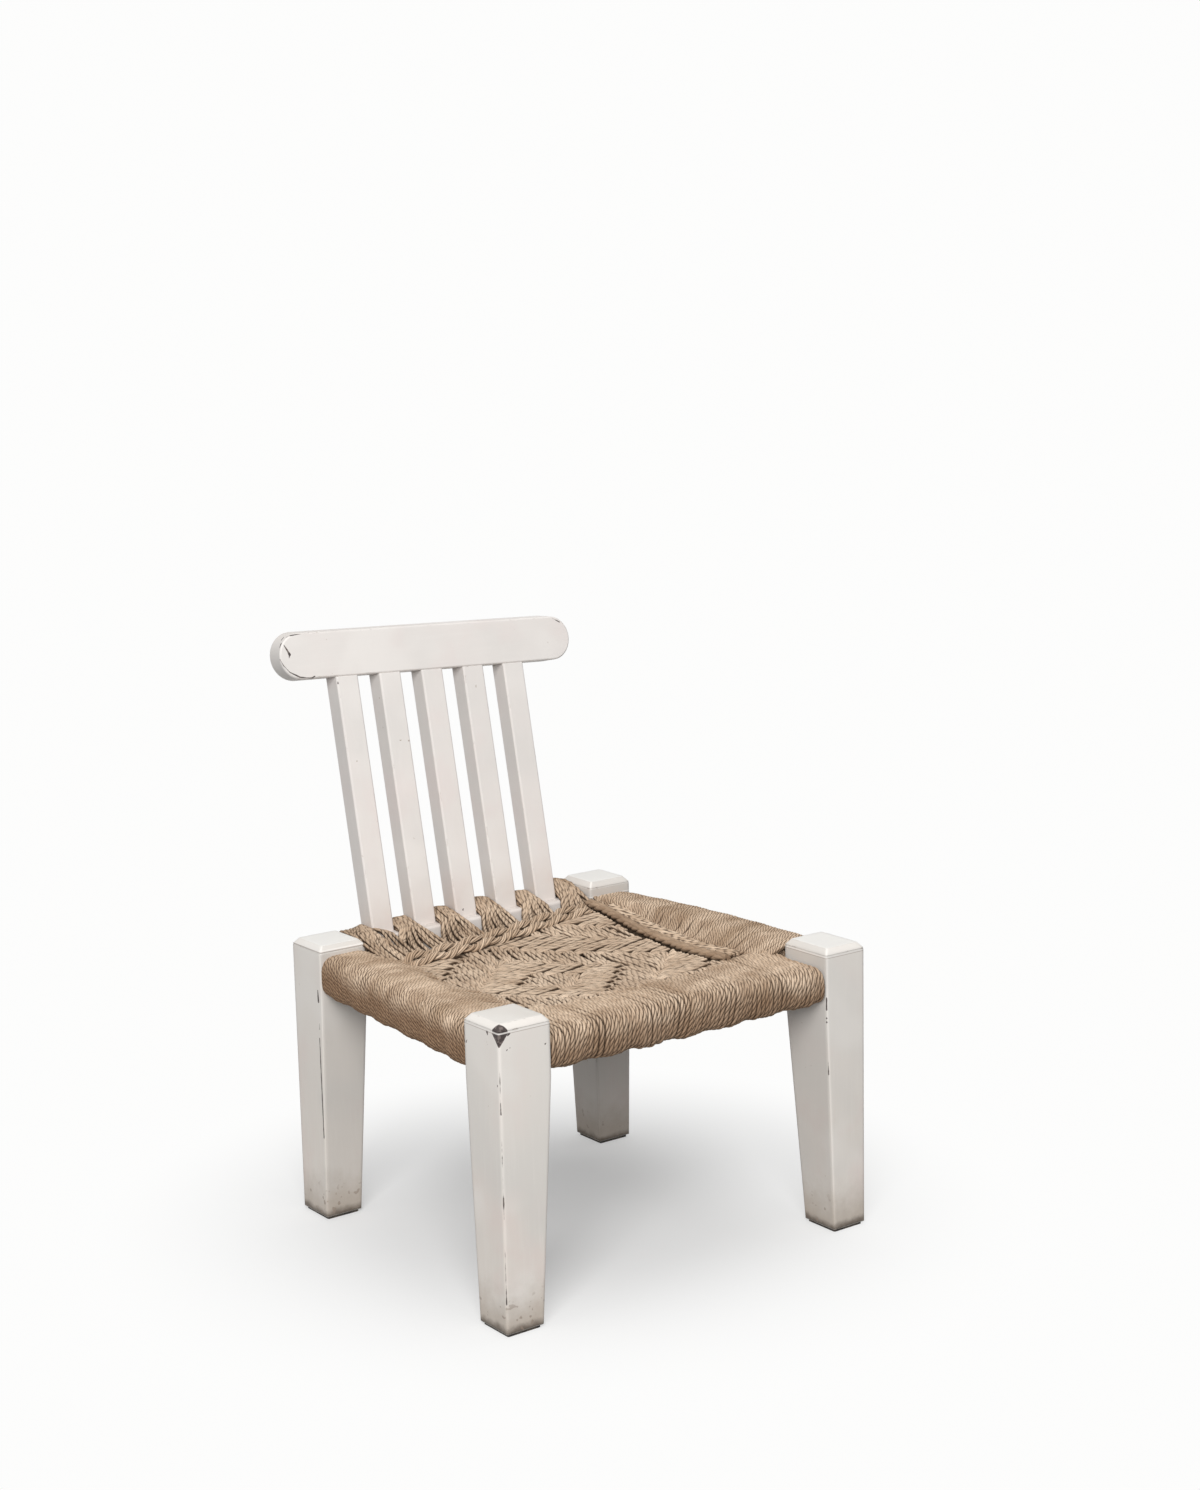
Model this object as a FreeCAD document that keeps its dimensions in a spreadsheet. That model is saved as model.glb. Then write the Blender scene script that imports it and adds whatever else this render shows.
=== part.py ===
"""Low lounge chair: four square painted posts, four mortised rails, five raked
slats under a round-ended crest board, and a seat of cord wound on the rails.

Millimetres. +Z is up, the sitter faces -Y, and +X is to the sitter's left. The
chair is set out from the floor point midway between the posts. Each piece is then
written with its origin under the middle of the chair's overall box.
"""
import FreeCAD, Part
import math
import os

import Sketcher

os.makedirs("parts", exist_ok=True)
DOC = FreeCAD.newDocument("lounge_chair")
V = FreeCAD.Vector
X_AXIS = V(1, 0, 0)
Y_AXIS = V(0, 1, 0)
Z_AXIS = V(0, 0, 1)

# Driving dimensions, one cell each.
SIZES = (
    # Footprint, measured over the outer faces of the posts
    ("front_width", 542),
    ("rear_width", 486),
    ("frame_depth", 502),
    # Posts: plumb outside, tapered on the two inner faces below the rails. They
    # are hand-sawn and differ a little in section and length.
    ("post_size", 66),
    ("front_left_width", 70),
    ("front_left_depth", 69),
    ("front_right_width", 62),
    ("front_right_depth", 77),
    ("rear_left_depth", 69),
    ("foot_width", 51),
    ("foot_depth", 55),
    ("rear_left_foot_depth", 59),
    ("taper_start", 290),
    ("front_bead_level", 356),
    ("rear_left_bead_level", 352),
    ("rear_right_bead_level", 366),
    ("cap_rise", 7),
    ("cap_bevel", 6),
    ("bead_width", 1.8),
    ("bead_depth", 0.8),
    ("post_arris", 2.2),
    ("pad_thickness", 4),
    ("pad_margin", 3),
    # Joints
    ("tenon_length", 28),
    ("tenon_thickness", 14),
    ("tenon_height", 24),
    ("joint_gap", 0.15),
    ("cut_overrun", 5),
    # Rails
    ("rail_depth", 40),
    ("front_rail_height", 32),
    ("front_rail_level", 318),
    ("side_rail_height", 40),
    ("left_rail_level", 320),
    ("right_rail_level", 327),
    ("rear_rail_depth", 44),
    ("rear_rail_height", 45),
    ("rear_rail_top", 352),
    ("rear_rail_setback", 48),
    ("rail_arris", 4),
    # Back: slats housed in the rear rail and tenoned into the crest board. The
    # slats share out the rail between the posts.
    ("slat_setback", 14.2),
    ("back_rake_angle", 11.5),
    ("slat_pitch_share", 0.1808),
    ("slat_width_share", 0.5),
    ("slat_thickness", 28),
    ("slat_length", 327),
    ("slat_arris", 1.6),
    ("slat_housing", 3),
    ("slat_shoulder", 6),
    ("slat_tenon_thickness", 10),
    ("slat_tenon_length", 22),
    ("crest_overhang", 95),
    ("crest_height", 58.5),
    ("crest_thickness", 28),
    ("crest_lip", 4.5),
    ("crest_tilt", 2.2),
    ("crest_offset", 1.5),
    ("crest_arris", 1.5),
    # Cord wound on the front and side rails
    ("rope_build", 6.4),
    ("rope_inset", 0.5),
    ("rope_clearance", 0.1),
    ("roll_corner", 14),
    ("roll_crown", 4),
    ("roll_lobe", 1.6),
    # Cord wound on the rear rail between the slats
    ("wrap_play", 0.5),
    ("wrap_share", 0.0985),
    ("wrap_clearance", 0.3),
    ("wrap_bend", 7),
    # Sheaves of cord that come over the rear rail and fan out to the weave
    ("sheaf_share", 0.485),
    ("sheaf_neck_share", 0.5625),
    ("sheaf_back_reach", 33),
    ("sheaf_ridge_reach", 19),
    ("sheaf_neck_reach", 19),
    ("sheaf_back_height", 11.5),
    ("sheaf_ridge_height", 12),
    ("sheaf_brow_height", 7.5),
    ("sheaf_neck_height", 7),
    ("sheaf_neck_drop", 14),
    ("sheaf_crown", 1.5),
    ("sheaf_gap", 0.2),
    # Woven panel
    ("panel_thickness", 14),
    ("panel_left_level", 338),
    ("panel_right_level", 343),
    ("panel_sag", 9),
    ("panel_gap", 0.2),
    # Two twisted strands laid along the back of the weave
    ("braid_left_inset", 71),
    ("braid_right_inset", 93),
    ("braid_left_run", 102),
    ("braid_right_run", 37),
    ("braid_cord", 12),
    ("braid_step", 6.4),
    ("braid_bow", 8),
    ("lay_clearance", 0.25),
    # Stout cord and flat plait laid beside the right-hand winding, each set in from
    # the middle of the rail by an amount that changes along it
    ("side_cord", 10.5),
    ("side_cord_bend", 60),
    ("side_cord_rear_inset", 56.6),
    ("side_cord_rear_share", 0.275),
    ("side_cord_middle_inset", 83),
    ("side_cord_middle_share", 0.08),
    ("side_cord_low_inset", 102.4),
    ("side_cord_low_share", -0.139),
    ("side_cord_front_inset", 104.4),
    ("side_cord_front_share", -0.299),
    ("plait_width", 22),
    ("plait_height", 6),
    ("plait_rear_inset", 37.9),
    ("plait_front_inset", 66.3),
    ("plait_reach_share", 0.269),
)
SHEET = DOC.addObject("Spreadsheet::Sheet", "Sizes")
for row, (alias, value) in enumerate(SIZES, start=1):
    SHEET.set(f"A{row}", alias)
    SHEET.set(f"B{row}", str(value))
    SHEET.setAlias(f"B{row}", alias)
DOC.recompute()

# Sizes that follow from the driving ones
DERIVED = {
    # Rear rail and slats
    "rear_rail_front": "frame_depth / 2 - rear_rail_setback",
    "slat_front": "rear_rail_front + slat_setback",
    "slat_pitch": "(rear_width - 2 * post_size) * slat_pitch_share",
    "slat_width": "slat_pitch * slat_width_share",
    "slat_tenon_width": "slat_width - 2 * slat_shoulder",
    "crest_length": "4 * slat_pitch + 2 * crest_overhang",
    # Cord on the rear rail
    "wrap_spacing": "slat_pitch * wrap_share",
    "wrap_cord": "wrap_spacing - wrap_play",
    # Sheaves of cord over the rear rail
    "sheaf_width": "slat_pitch * sheaf_share",
    "sheaf_neck_width": "slat_pitch * sheaf_neck_share",
    "sheaf_back": "rear_rail_front + sheaf_back_reach",
    "sheaf_ridge": "rear_rail_front + sheaf_ridge_reach",
    "sheaf_neck": "rear_rail_front - sheaf_neck_reach",
    # Ends of the seam under the braid
    "braid_left_x": "braid_left_inset - rear_width / 2",
    "braid_right_x": "rear_width / 2 - braid_right_inset",
    "braid_left_y": "rear_rail_front - braid_left_run",
    "braid_right_y": "rear_rail_front - braid_right_run",
}

SLAT_COUNT = 5
WRAP_LOOPS = 5
CORD_SIDES = 8
ROLL_LOBES = 7
STATIONS_PER_LOBE = 4
NODES = {}


def size(name):
    """A driving or derived size, in millimetres."""
    return worth(name) if name in DERIVED else float(getattr(SHEET, name))


def node(thing, name):
    """Names a finished piece; the name is also its file's name."""
    thing.Label = name
    NODES[name] = thing
    return thing


def cells(word):
    """A size's name as the sheet knows it; other words stay as they are."""
    if word in DERIVED:
        return f"({named(DERIVED[word])})"
    return "Sizes." + word if word and hasattr(SHEET, word) else word


def named(expression):
    """Writes 'post_size - cap_bevel' as an expression on the sheet's cells."""
    words = []
    word = ""
    for letter in expression + " ":
        if letter.isalnum() or letter == "_":
            word += letter
            continue
        words.append(cells(word))
        words.append(letter)
        word = ""
    return "".join(words).strip()


def worth(expression):
    """The number that an expression of cell names gives."""
    total = SHEET.evalExpression(named(expression))
    return float(getattr(total, "Value", total))


def origin_plane(body, role):
    return next(f for f in body.Origin.OriginFeatures if f.Role == role)


def new_sketch(body, name, role, offset="0"):
    """An empty sketch on one of the body's own planes, moved along its normal."""
    sketch = body.newObject("Sketcher::SketchObject", name)
    sketch.AttachmentSupport = (origin_plane(body, role), "")
    sketch.MapMode = "FlatFace"
    sketch.setExpression("AttachmentOffset.Base.z", named(offset))
    return sketch


def fix(sketch, kind, where, expression):
    """Adds a dimension from the sketch's origin and ties it to the sheet."""
    geometry, point = where
    index = sketch.addConstraint(
        Sketcher.Constraint(kind, -1, 1, geometry, point, worth(expression)))
    sketch.setExpression(f"Constraints[{index}]", named(expression))


def polygon(sketch, corners):
    """Straight-sided outline; each corner is a pair of expressions."""
    spots = [V(worth(x), worth(y), 0) for x, y in corners]
    count = len(corners)
    for i in range(count):
        sketch.addGeometry(Part.LineSegment(spots[i], spots[(i + 1) % count]), False)
    for i in range(count):
        sketch.addConstraint(Sketcher.Constraint("Coincident", i, 2, (i + 1) % count, 1))
    for i, (x, y) in enumerate(corners):
        fix(sketch, "DistanceX", (i, 1), x)
        fix(sketch, "DistanceY", (i, 1), y)


def rounded(sketch, left, right, low, high, radius):
    """Rectangle with four equal round corners; each argument is an expression."""
    x0, x1, y0, y1, r = (worth(e) for e in (left, right, low, high, radius))
    spots = ((x0 + r, y0, x1 - r, y0), (x1, y0 + r, x1, y1 - r),
             (x1 - r, y1, x0 + r, y1), (x0, y1 - r, x0, y0 + r))
    centres = ((x1 - r, y0 + r), (x1 - r, y1 - r), (x0 + r, y1 - r), (x0 + r, y0 + r))
    for i in range(4):
        a, b, c, d = spots[i]
        sketch.addGeometry(Part.LineSegment(V(a, b, 0), V(c, d, 0)), False)
        start = -math.pi / 2 + i * math.pi / 2
        round_ = Part.Circle(V(*centres[i], 0), Z_AXIS, r)
        sketch.addGeometry(Part.ArcOfCircle(round_, start, start + math.pi / 2), False)
    for i in range(4):
        line, arc, following = 2 * i, 2 * i + 1, (2 * i + 2) % 8
        sketch.addConstraint(Sketcher.Constraint("Tangent", line, 2, arc, 1))
        sketch.addConstraint(Sketcher.Constraint("Tangent", arc, 2, following, 1))
        side = "Horizontal" if i % 2 == 0 else "Vertical"
        sketch.addConstraint(Sketcher.Constraint(side, line))
        if i:
            sketch.addConstraint(Sketcher.Constraint("Equal", 1, arc))
    bend = sketch.addConstraint(Sketcher.Constraint("Radius", 1, r))
    sketch.setExpression(f"Constraints[{bend}]", named(radius))
    fix(sketch, "DistanceY", (0, 1), low)
    fix(sketch, "DistanceX", (2, 1), right)
    fix(sketch, "DistanceY", (4, 1), high)
    fix(sketch, "DistanceX", (6, 1), left)


def slot(sketch, half_length, low, high):
    """Board outline with full-round ends."""
    half, y0, y1 = worth(half_length), worth(low), worth(high)
    r, mid = (y1 - y0) / 2, (y0 + y1) / 2
    reach = half - r
    sketch.addGeometry(Part.LineSegment(V(-reach, y0, 0), V(reach, y0, 0)), False)
    right_end = Part.Circle(V(reach, mid, 0), Z_AXIS, r)
    sketch.addGeometry(Part.ArcOfCircle(right_end, -math.pi / 2, math.pi / 2), False)
    sketch.addGeometry(Part.LineSegment(V(reach, y1, 0), V(-reach, y1, 0)), False)
    left_end = Part.Circle(V(-reach, mid, 0), Z_AXIS, r)
    sketch.addGeometry(Part.ArcOfCircle(left_end, math.pi / 2, 3 * math.pi / 2), False)
    for a, b in ((0, 1), (1, 2), (2, 3), (3, 0)):
        sketch.addConstraint(Sketcher.Constraint("Tangent", a, 2, b, 1))
    sketch.addConstraint(Sketcher.Constraint("Horizontal", 0))
    span = f"(({high}) - ({low})) / 2"
    fix(sketch, "DistanceY", (0, 1), low)
    fix(sketch, "DistanceY", (2, 1), high)
    fix(sketch, "DistanceX", (0, 1), f"-({half_length}) + {span}")
    fix(sketch, "DistanceX", (0, 2), f"{half_length} - {span}")


def loft(body, name, sections):
    made = body.newObject("PartDesign::AdditiveLoft", name)
    made.Profile = sections[0]
    made.Sections = sections[1:]
    made.Ruled = True
    return made


def pad(body, name, sketch, length, both_ways=False, reverse=False):
    made = body.newObject("PartDesign::Pad", name)
    made.Profile = sketch
    made.Midplane = both_ways
    made.Reversed = reverse
    made.setExpression("Length", named(length))
    return made


def block(name, spans):
    """A box between three pairs of expressions, for X, Y and Z."""
    made = DOC.addObject("Part::Box", name)
    for key, axis, (low, high) in zip(("Length", "Width", "Height"), "xyz", spans):
        made.setExpression(key, named(f"({high}) - ({low})"))
        made.setExpression(f"Placement.Base.{axis}", named(low))
    return made


def cut(name, base, tools):
    tool = tools[0]
    if len(tools) > 1:
        tool = DOC.addObject("Part::MultiFuse", name + "_tool")
        tool.Shapes = tools
    made = DOC.addObject("Part::Cut", name)
    made.Base = base
    made.Tool = tool
    return made


# Side rails run from the front posts to the closer-set rear posts. Their centre
# line is given at the two shoulders and carried on at the same slope.
SHOULDER = "(frame_depth / 2 - post_size)"
FRONT_CENTRE = "(front_width / 2 - rope_inset - rope_build - rail_depth / 2)"
REAR_CENTRE = "(rear_width / 2 - rope_inset - rope_build - rail_depth / 2)"
SIDE_SLOPE = f"(({FRONT_CENTRE} - {REAR_CENTRE}) / (2 * {SHOULDER}))"


def side_centre(reach):
    """Distance of a side rail's centre line from the middle, 'reach' behind it."""
    return f"(({FRONT_CENTRE} + {REAR_CENTRE}) / 2 - ({reach}) * {SIDE_SLOPE})"


FRONT_RAIL_MIDDLE = "(-frame_depth / 2 + rope_inset + rope_build + rail_depth / 2)"
REAR_RAIL_MIDDLE = "(rear_rail_front + rear_rail_depth / 2)"

# Shoulders of the side rails, at the inner faces of the posts on that side
SIDE_FRONT = {
    -1: "(-frame_depth / 2 + front_left_depth)",
    1: "(-frame_depth / 2 + front_right_depth)",
}
SIDE_REAR = {
    -1: "(frame_depth / 2 - rear_left_depth)",
    1: "(frame_depth / 2 - post_size)",
}
# Shoulders of the front and rear rails
CROSS_ENDS = {
    "front": ("(-front_width / 2 + front_left_width)", "(front_width / 2 - front_right_width)"),
    "rear": ("(-rear_width / 2 + post_size)", "(rear_width / 2 - post_size)"),
}


def side_bar(body, name, sign, level, thickness, height, front, rear, radius=None):
    """A bar along a side rail's line, between two cross-sections."""
    sections = []
    for end, where in (("front", front), ("rear", rear)):
        sketch = new_sketch(body, f"{name}_{end}", "XZ_Plane", f"-({where})")
        middle = f"{sign} * {side_centre(where)}"
        left, right = f"{middle} - ({thickness}) / 2", f"{middle} + ({thickness}) / 2"
        low, high = f"{level} - ({height}) / 2", f"{level} + ({height}) / 2"
        if radius:
            rounded(sketch, left, right, low, high, radius)
        else:
            polygon(sketch, ((left, low), (right, low), (right, high), (left, high)))
        sections.append(sketch)
    return loft(body, name, sections)


def leg(name, side, end, width, section, foot, bead, side_level, rail_middle, rail_centre_level):
    """Post with a scribed bead and a bevelled cap, mortised for two rails.

    side is -1 left, 1 right; end is -1 front, 1 rear. The outer corner is fixed
    and the two inner faces run in towards it below taper_start.
    """
    broad, thick = section
    body = DOC.addObject("PartDesign::Body", name + "_post")
    levels = (
        ("foot", "pad_thickness", *foot, "0"),
        ("knee", "taper_start", broad, thick, "0"),
        ("neck", f"{bead} - bead_width", broad, thick, "0"),
        ("bead", f"{bead} - bead_width / 2", broad, thick, "bead_depth"),
        ("lip", bead, broad, thick, "0"),
        ("cap", f"{bead} + cap_rise", broad, thick, "cap_bevel"),
    )
    sections = []
    for label, level, across, deep, inset in levels:
        sketch = new_sketch(body, f"{name}_{label}", "XY_Plane", level)
        outer_x, inner_x = f"{width} / 2 - {inset}", f"{width} / 2 - {across} + {inset}"
        outer_y, inner_y = f"frame_depth / 2 - {inset}", f"frame_depth / 2 - {deep} + {inset}"
        xs = (inner_x, outer_x) if side > 0 else (f"-({outer_x})", f"-({inner_x})")
        ys = (inner_y, outer_y) if end > 0 else (f"-({outer_y})", f"-({inner_y})")
        rounded(sketch, *xs, *ys, "post_arris")
        sections.append(sketch)
    loft(body, name + "_form", sections)
    half_height, half_thickness = "tenon_height / 2 + joint_gap", "tenon_thickness / 2 + joint_gap"
    deep_end = f"{width} / 2 - {broad} + tenon_length + joint_gap"
    mouth = f"{width} / 2 - {broad} - cut_overrun"
    xs = (mouth, deep_end) if side > 0 else (f"-({deep_end})", f"-({mouth})")
    cross_mortise = block(name + "_cross_mortise", (
        xs,
        (f"{rail_middle} - ({half_thickness})", f"{rail_middle} + {half_thickness}"),
        (f"{rail_centre_level} - ({half_height})", f"{rail_centre_level} + {half_height}")))
    side_mortise = DOC.addObject("PartDesign::Body", name + "_side_mortise")
    side_bar(side_mortise, name + "_side_mortise_form", side, side_level,
             "tenon_thickness + 2 * joint_gap", "tenon_height + 2 * joint_gap",
             f"({SIDE_FRONT[side]} - tenon_length - joint_gap)",
             f"({SIDE_REAR[side]} + tenon_length + joint_gap)")
    return node(cut(name, body, [cross_mortise, side_mortise]), name)


REAR_RAIL_LEVEL = "(rear_rail_top - rear_rail_height / 2)"
FOOT = ("foot_width", "foot_depth")
REAR_LEFT_FOOT = ("foot_width", "rear_left_foot_depth")
leg("leg_front_left", -1, -1, "front_width", ("front_left_width", "front_left_depth"), FOOT,
    "front_bead_level", "left_rail_level", FRONT_RAIL_MIDDLE, "front_rail_level")
leg("leg_front_right", 1, -1, "front_width", ("front_right_width", "front_right_depth"), FOOT,
    "front_bead_level", "right_rail_level", FRONT_RAIL_MIDDLE, "front_rail_level")
leg("leg_rear_left", -1, 1, "rear_width", ("post_size", "rear_left_depth"), REAR_LEFT_FOOT,
    "rear_left_bead_level", "left_rail_level", REAR_RAIL_MIDDLE, REAR_RAIL_LEVEL)
leg("leg_rear_right", 1, 1, "rear_width", ("post_size", "post_size"), FOOT,
    "rear_right_bead_level", "right_rail_level", REAR_RAIL_MIDDLE, REAR_RAIL_LEVEL)


def foot_pad(name, side, end, width, foot):
    """Thin dark glide under a foot, set in from the foot's edges."""
    body = DOC.addObject("PartDesign::Body", name)
    sketch = new_sketch(body, name + "_outline", "XY_Plane")
    broad, thick = foot
    outer_x, inner_x = f"{width} / 2 - pad_margin", f"{width} / 2 - {broad} + pad_margin"
    outer_y, inner_y = "frame_depth / 2 - pad_margin", f"frame_depth / 2 - {thick} + pad_margin"
    xs = (inner_x, outer_x) if side > 0 else (f"-({outer_x})", f"-({inner_x})")
    ys = (inner_y, outer_y) if end > 0 else (f"-({outer_y})", f"-({inner_y})")
    rounded(sketch, *xs, *ys, "post_arris")
    pad(body, name + "_thickness", sketch, "pad_thickness")
    return node(body, name)


foot_pad("foot_pad_front_left", -1, -1, "front_width", FOOT)
foot_pad("foot_pad_front_right", 1, -1, "front_width", FOOT)
foot_pad("foot_pad_rear_left", -1, 1, "rear_width", REAR_LEFT_FOOT)
foot_pad("foot_pad_rear_right", 1, 1, "rear_width", FOOT)


def cross_rail(name, ends, middle, depth, level, height):
    """Front or rear rail with a stub tenon at each end."""
    body = DOC.addObject("PartDesign::Body", name + "_bar")
    left_end, right_end = ends
    section = new_sketch(body, name + "_section", "YZ_Plane", left_end)
    rounded(section, f"{middle} - {depth} / 2", f"{middle} + {depth} / 2",
            f"{level} - {height} / 2", f"{level} + {height} / 2", "rail_arris")
    pad(body, name + "_length", section, f"{right_end} - {left_end}")
    tenon = new_sketch(body, name + "_tenon", "YZ_Plane", f"{left_end} - tenon_length")
    left, right = f"{middle} - tenon_thickness / 2", f"{middle} + tenon_thickness / 2"
    low, high = f"{level} - tenon_height / 2", f"{level} + tenon_height / 2"
    polygon(tenon, ((left, low), (right, low), (right, high), (left, high)))
    pad(body, name + "_tenons", tenon, f"{right_end} - {left_end} + 2 * tenon_length")
    return body


front_rail = cross_rail("front_rail", CROSS_ENDS["front"], FRONT_RAIL_MIDDLE, "rail_depth",
                        "front_rail_level", "front_rail_height")
node(front_rail, "front_rail")
for name, sign, level in (("left_rail", -1, "left_rail_level"), ("right_rail", 1, "right_rail_level")):
    body = DOC.addObject("PartDesign::Body", name)
    front, rear = SIDE_FRONT[sign], SIDE_REAR[sign]
    side_bar(body, name + "_bar", sign, level, "rail_depth", "side_rail_height",
             front, rear, "rail_arris")
    side_bar(body, name + "_tenons", sign, level, "tenon_thickness", "tenon_height",
             f"({front} - tenon_length)", f"({rear} + tenon_length)")
    node(body, name)

# The back stands in its own frame: origin at the foot of the slats' front faces,
# local Y through the thickness, local Z up the slats, leaning back by the rake.
BACK_FRAME = FreeCAD.Placement(V(0, size("slat_front"), size("rear_rail_top")),
                               FreeCAD.Rotation(X_AXIS, -size("back_rake_angle")))
LEAN = "tan(crest_tilt * 1 deg)"


def slat_offset(index):
    return f"{index - (SLAT_COUNT - 1) / 2} * slat_pitch"


def slat_top(index):
    """Height of a slat's upper shoulder on its middle line."""
    return f"(slat_length - ({slat_offset(index)}) * {LEAN})"


def back_slat(index):
    """Slat with a sloped upper shoulder and a stub tenon at each end."""
    name = f"back_slat_{index + 1}"
    body = DOC.addObject("PartDesign::Body", name)
    body.Placement = BACK_FRAME.multiply(FreeCAD.Placement(V(worth(slat_offset(index)), 0, 0),
                                                           FreeCAD.Rotation()))
    face = new_sketch(body, name + "_face", "XZ_Plane")
    top = slat_top(index)
    polygon(face, (("-slat_width / 2", "-slat_housing"), ("slat_width / 2", "-slat_housing"),
                   ("slat_width / 2", f"{top} - slat_width / 2 * {LEAN}"),
                   ("-slat_width / 2", f"{top} + slat_width / 2 * {LEAN}")))
    stock = pad(body, name + "_stock", face, "slat_thickness", reverse=True)
    DOC.recompute()
    long_edges = [f"Edge{i}" for i, edge in enumerate(stock.Shape.Edges, start=1)
                  if edge.BoundBox.ZLength > size("slat_length") / 2]
    arris = body.newObject("PartDesign::Chamfer", name + "_arris")
    arris.Base = (stock, long_edges)
    arris.setExpression("Size", named("slat_arris"))
    tenon = new_sketch(body, name + "_tenon", "XZ_Plane", "-slat_thickness / 2")
    low = "-slat_housing - slat_tenon_length"
    high = f"{top} + slat_tenon_length"
    half = "slat_tenon_width / 2"
    polygon(tenon, ((f"-{half}", low), (half, low), (half, high), (f"-{half}", high)))
    pad(body, name + "_tenons", tenon, "slat_tenon_thickness", both_ways=True)
    return node(body, name)


def back_cutter(name, spans):
    """A block given in the back's frame and moved with it."""
    made = block(name, spans)
    DOC.recompute()
    corner = made.Placement.Base
    for axis in "xyz":
        made.setExpression(f"Placement.Base.{axis}", None)
    made.Placement = BACK_FRAME.multiply(FreeCAD.Placement(corner, FreeCAD.Rotation()))
    return made


rail_cutters = []
crest_cutters = []
for index in range(SLAT_COUNT):
    back_slat(index)
    middle = f"({slat_offset(index)})"
    half_tenon = "slat_tenon_width / 2 + joint_gap"
    tenon_span = ("slat_thickness / 2 - slat_tenon_thickness / 2 - joint_gap",
                  "slat_thickness / 2 + slat_tenon_thickness / 2 + joint_gap")
    rail_cutters.append(back_cutter(f"housing_{index + 1}", (
        (f"{middle} - slat_width / 2 - joint_gap", f"{middle} + slat_width / 2 + joint_gap"),
        ("-joint_gap", "slat_thickness + joint_gap"),
        ("-slat_housing", "slat_thickness"))))
    rail_cutters.append(back_cutter(f"rail_mortise_{index + 1}", (
        (f"{middle} - {half_tenon}", f"{middle} + {half_tenon}"), tenon_span,
        ("-slat_housing - slat_tenon_length - joint_gap", "0"))))
    crest_cutters.append(back_cutter(f"crest_mortise_{index + 1}", (
        (f"{middle} - {half_tenon}", f"{middle} + {half_tenon}"), tenon_span,
        (f"{slat_top(index)} - cut_overrun", f"{slat_top(index)} + slat_tenon_length + joint_gap"))))

rear_bar = cross_rail("rear_rail", CROSS_ENDS["rear"], REAR_RAIL_MIDDLE, "rear_rail_depth",
                      REAR_RAIL_LEVEL, "rear_rail_height")
node(cut("rear_rail", rear_bar, rail_cutters), "rear_rail")

# Crest board: full-round ends, top edge planed level, so its back face is taller.
crest_board = DOC.addObject("PartDesign::Body", "crest_board")
crest_outlines = (
    ("crest_front", "0", "crest_arris", "0"),
    ("crest_front_edge", "crest_arris", "0", "crest_lip * crest_arris / crest_thickness"),
    ("crest_back_edge", "crest_thickness - crest_arris", "0",
     "crest_lip * (1 - crest_arris / crest_thickness)"),
    ("crest_back", "crest_thickness", "crest_arris", "crest_lip"),
)
crest_sections = []
for label, depth, inset, lip in crest_outlines:
    outline = new_sketch(crest_board, label, "XZ_Plane", f"-({depth})")
    slot(outline, f"(crest_length / 2 - {inset})", inset, f"(crest_height + {lip} - {inset})")
    crest_sections.append(outline)
loft(crest_board, "crest_form", crest_sections)
crest_board.Placement = BACK_FRAME.multiply(FreeCAD.Placement(
    V(size("crest_offset"), 0, size("slat_length")), FreeCAD.Rotation(Y_AXIS, size("crest_tilt"))))
node(cut("crest_rail", crest_board, crest_cutters), "crest_rail")
DOC.recompute()


def shaped(name, shape):
    """A piece whose form comes from a formula rather than from a sketch."""
    made = DOC.addObject("Part::Feature", name)
    made.Shape = shape
    made.Placement = FreeCAD.Placement()
    return node(made, name)


def ring(place, left, right, low, high, radius):
    """Closed rounded rectangle; place turns its two coordinates into a point."""
    slant = radius * (1 - math.sqrt(0.5))
    edges = []
    corners = ((right, low, -1, 1), (right, high, -1, -1), (left, high, 1, -1), (left, low, 1, 1))
    starts, ends = [], []
    for i, (x, y, to_x, to_y) in enumerate(corners):
        along_x, along_y = place(x + to_x * radius, y), place(x, y + to_y * radius)
        first, last = (along_x, along_y) if i % 2 == 0 else (along_y, along_x)
        middle = place(x + to_x * slant, y + to_y * slant)
        starts.append(first)
        ends.append(last)
        edges.append(Part.Arc(first, middle, last).toShape())
        if i:
            edges.insert(-1, Part.LineSegment(ends[i - 1], first).toShape())
    edges.append(Part.LineSegment(ends[-1], starts[0]).toShape())
    return Part.Wire(edges)


def roll_sections(start, end, place_at, reach, low, high):
    """Cross-sections of a wound rail, swelling in lobes between its two ends.

    reach is the distance from the rail's centre line to the plain faces; the
    outer, upper and lower faces swell, and the inner face stays flat.
    """
    count = ROLL_LOBES * STATIONS_PER_LOBE
    wires = []
    for i in range(count + 1):
        share = i / count
        run = start + (end - start) * share
        lobe = size("roll_lobe") * (1 - math.cos(2 * math.pi * ROLL_LOBES * share)) / 2
        crown = size("roll_crown") * math.sin(math.pi * share)
        wires.append(ring(place_at(run), -reach, reach + lobe,
                          low - lobe, high + crown + lobe, size("roll_corner")))
    return wires


def wound_roll(name, wires, core):
    shape = Part.makeLoft(wires, True, True).cut(core)
    return shaped(name, shape)


def plain_bar(corners_front, corners_rear):
    wires = [Part.makePolygon(list(corners) + [corners[0]]) for corners in (corners_front, corners_rear)]
    return Part.makeLoft(wires, True, True)


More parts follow.
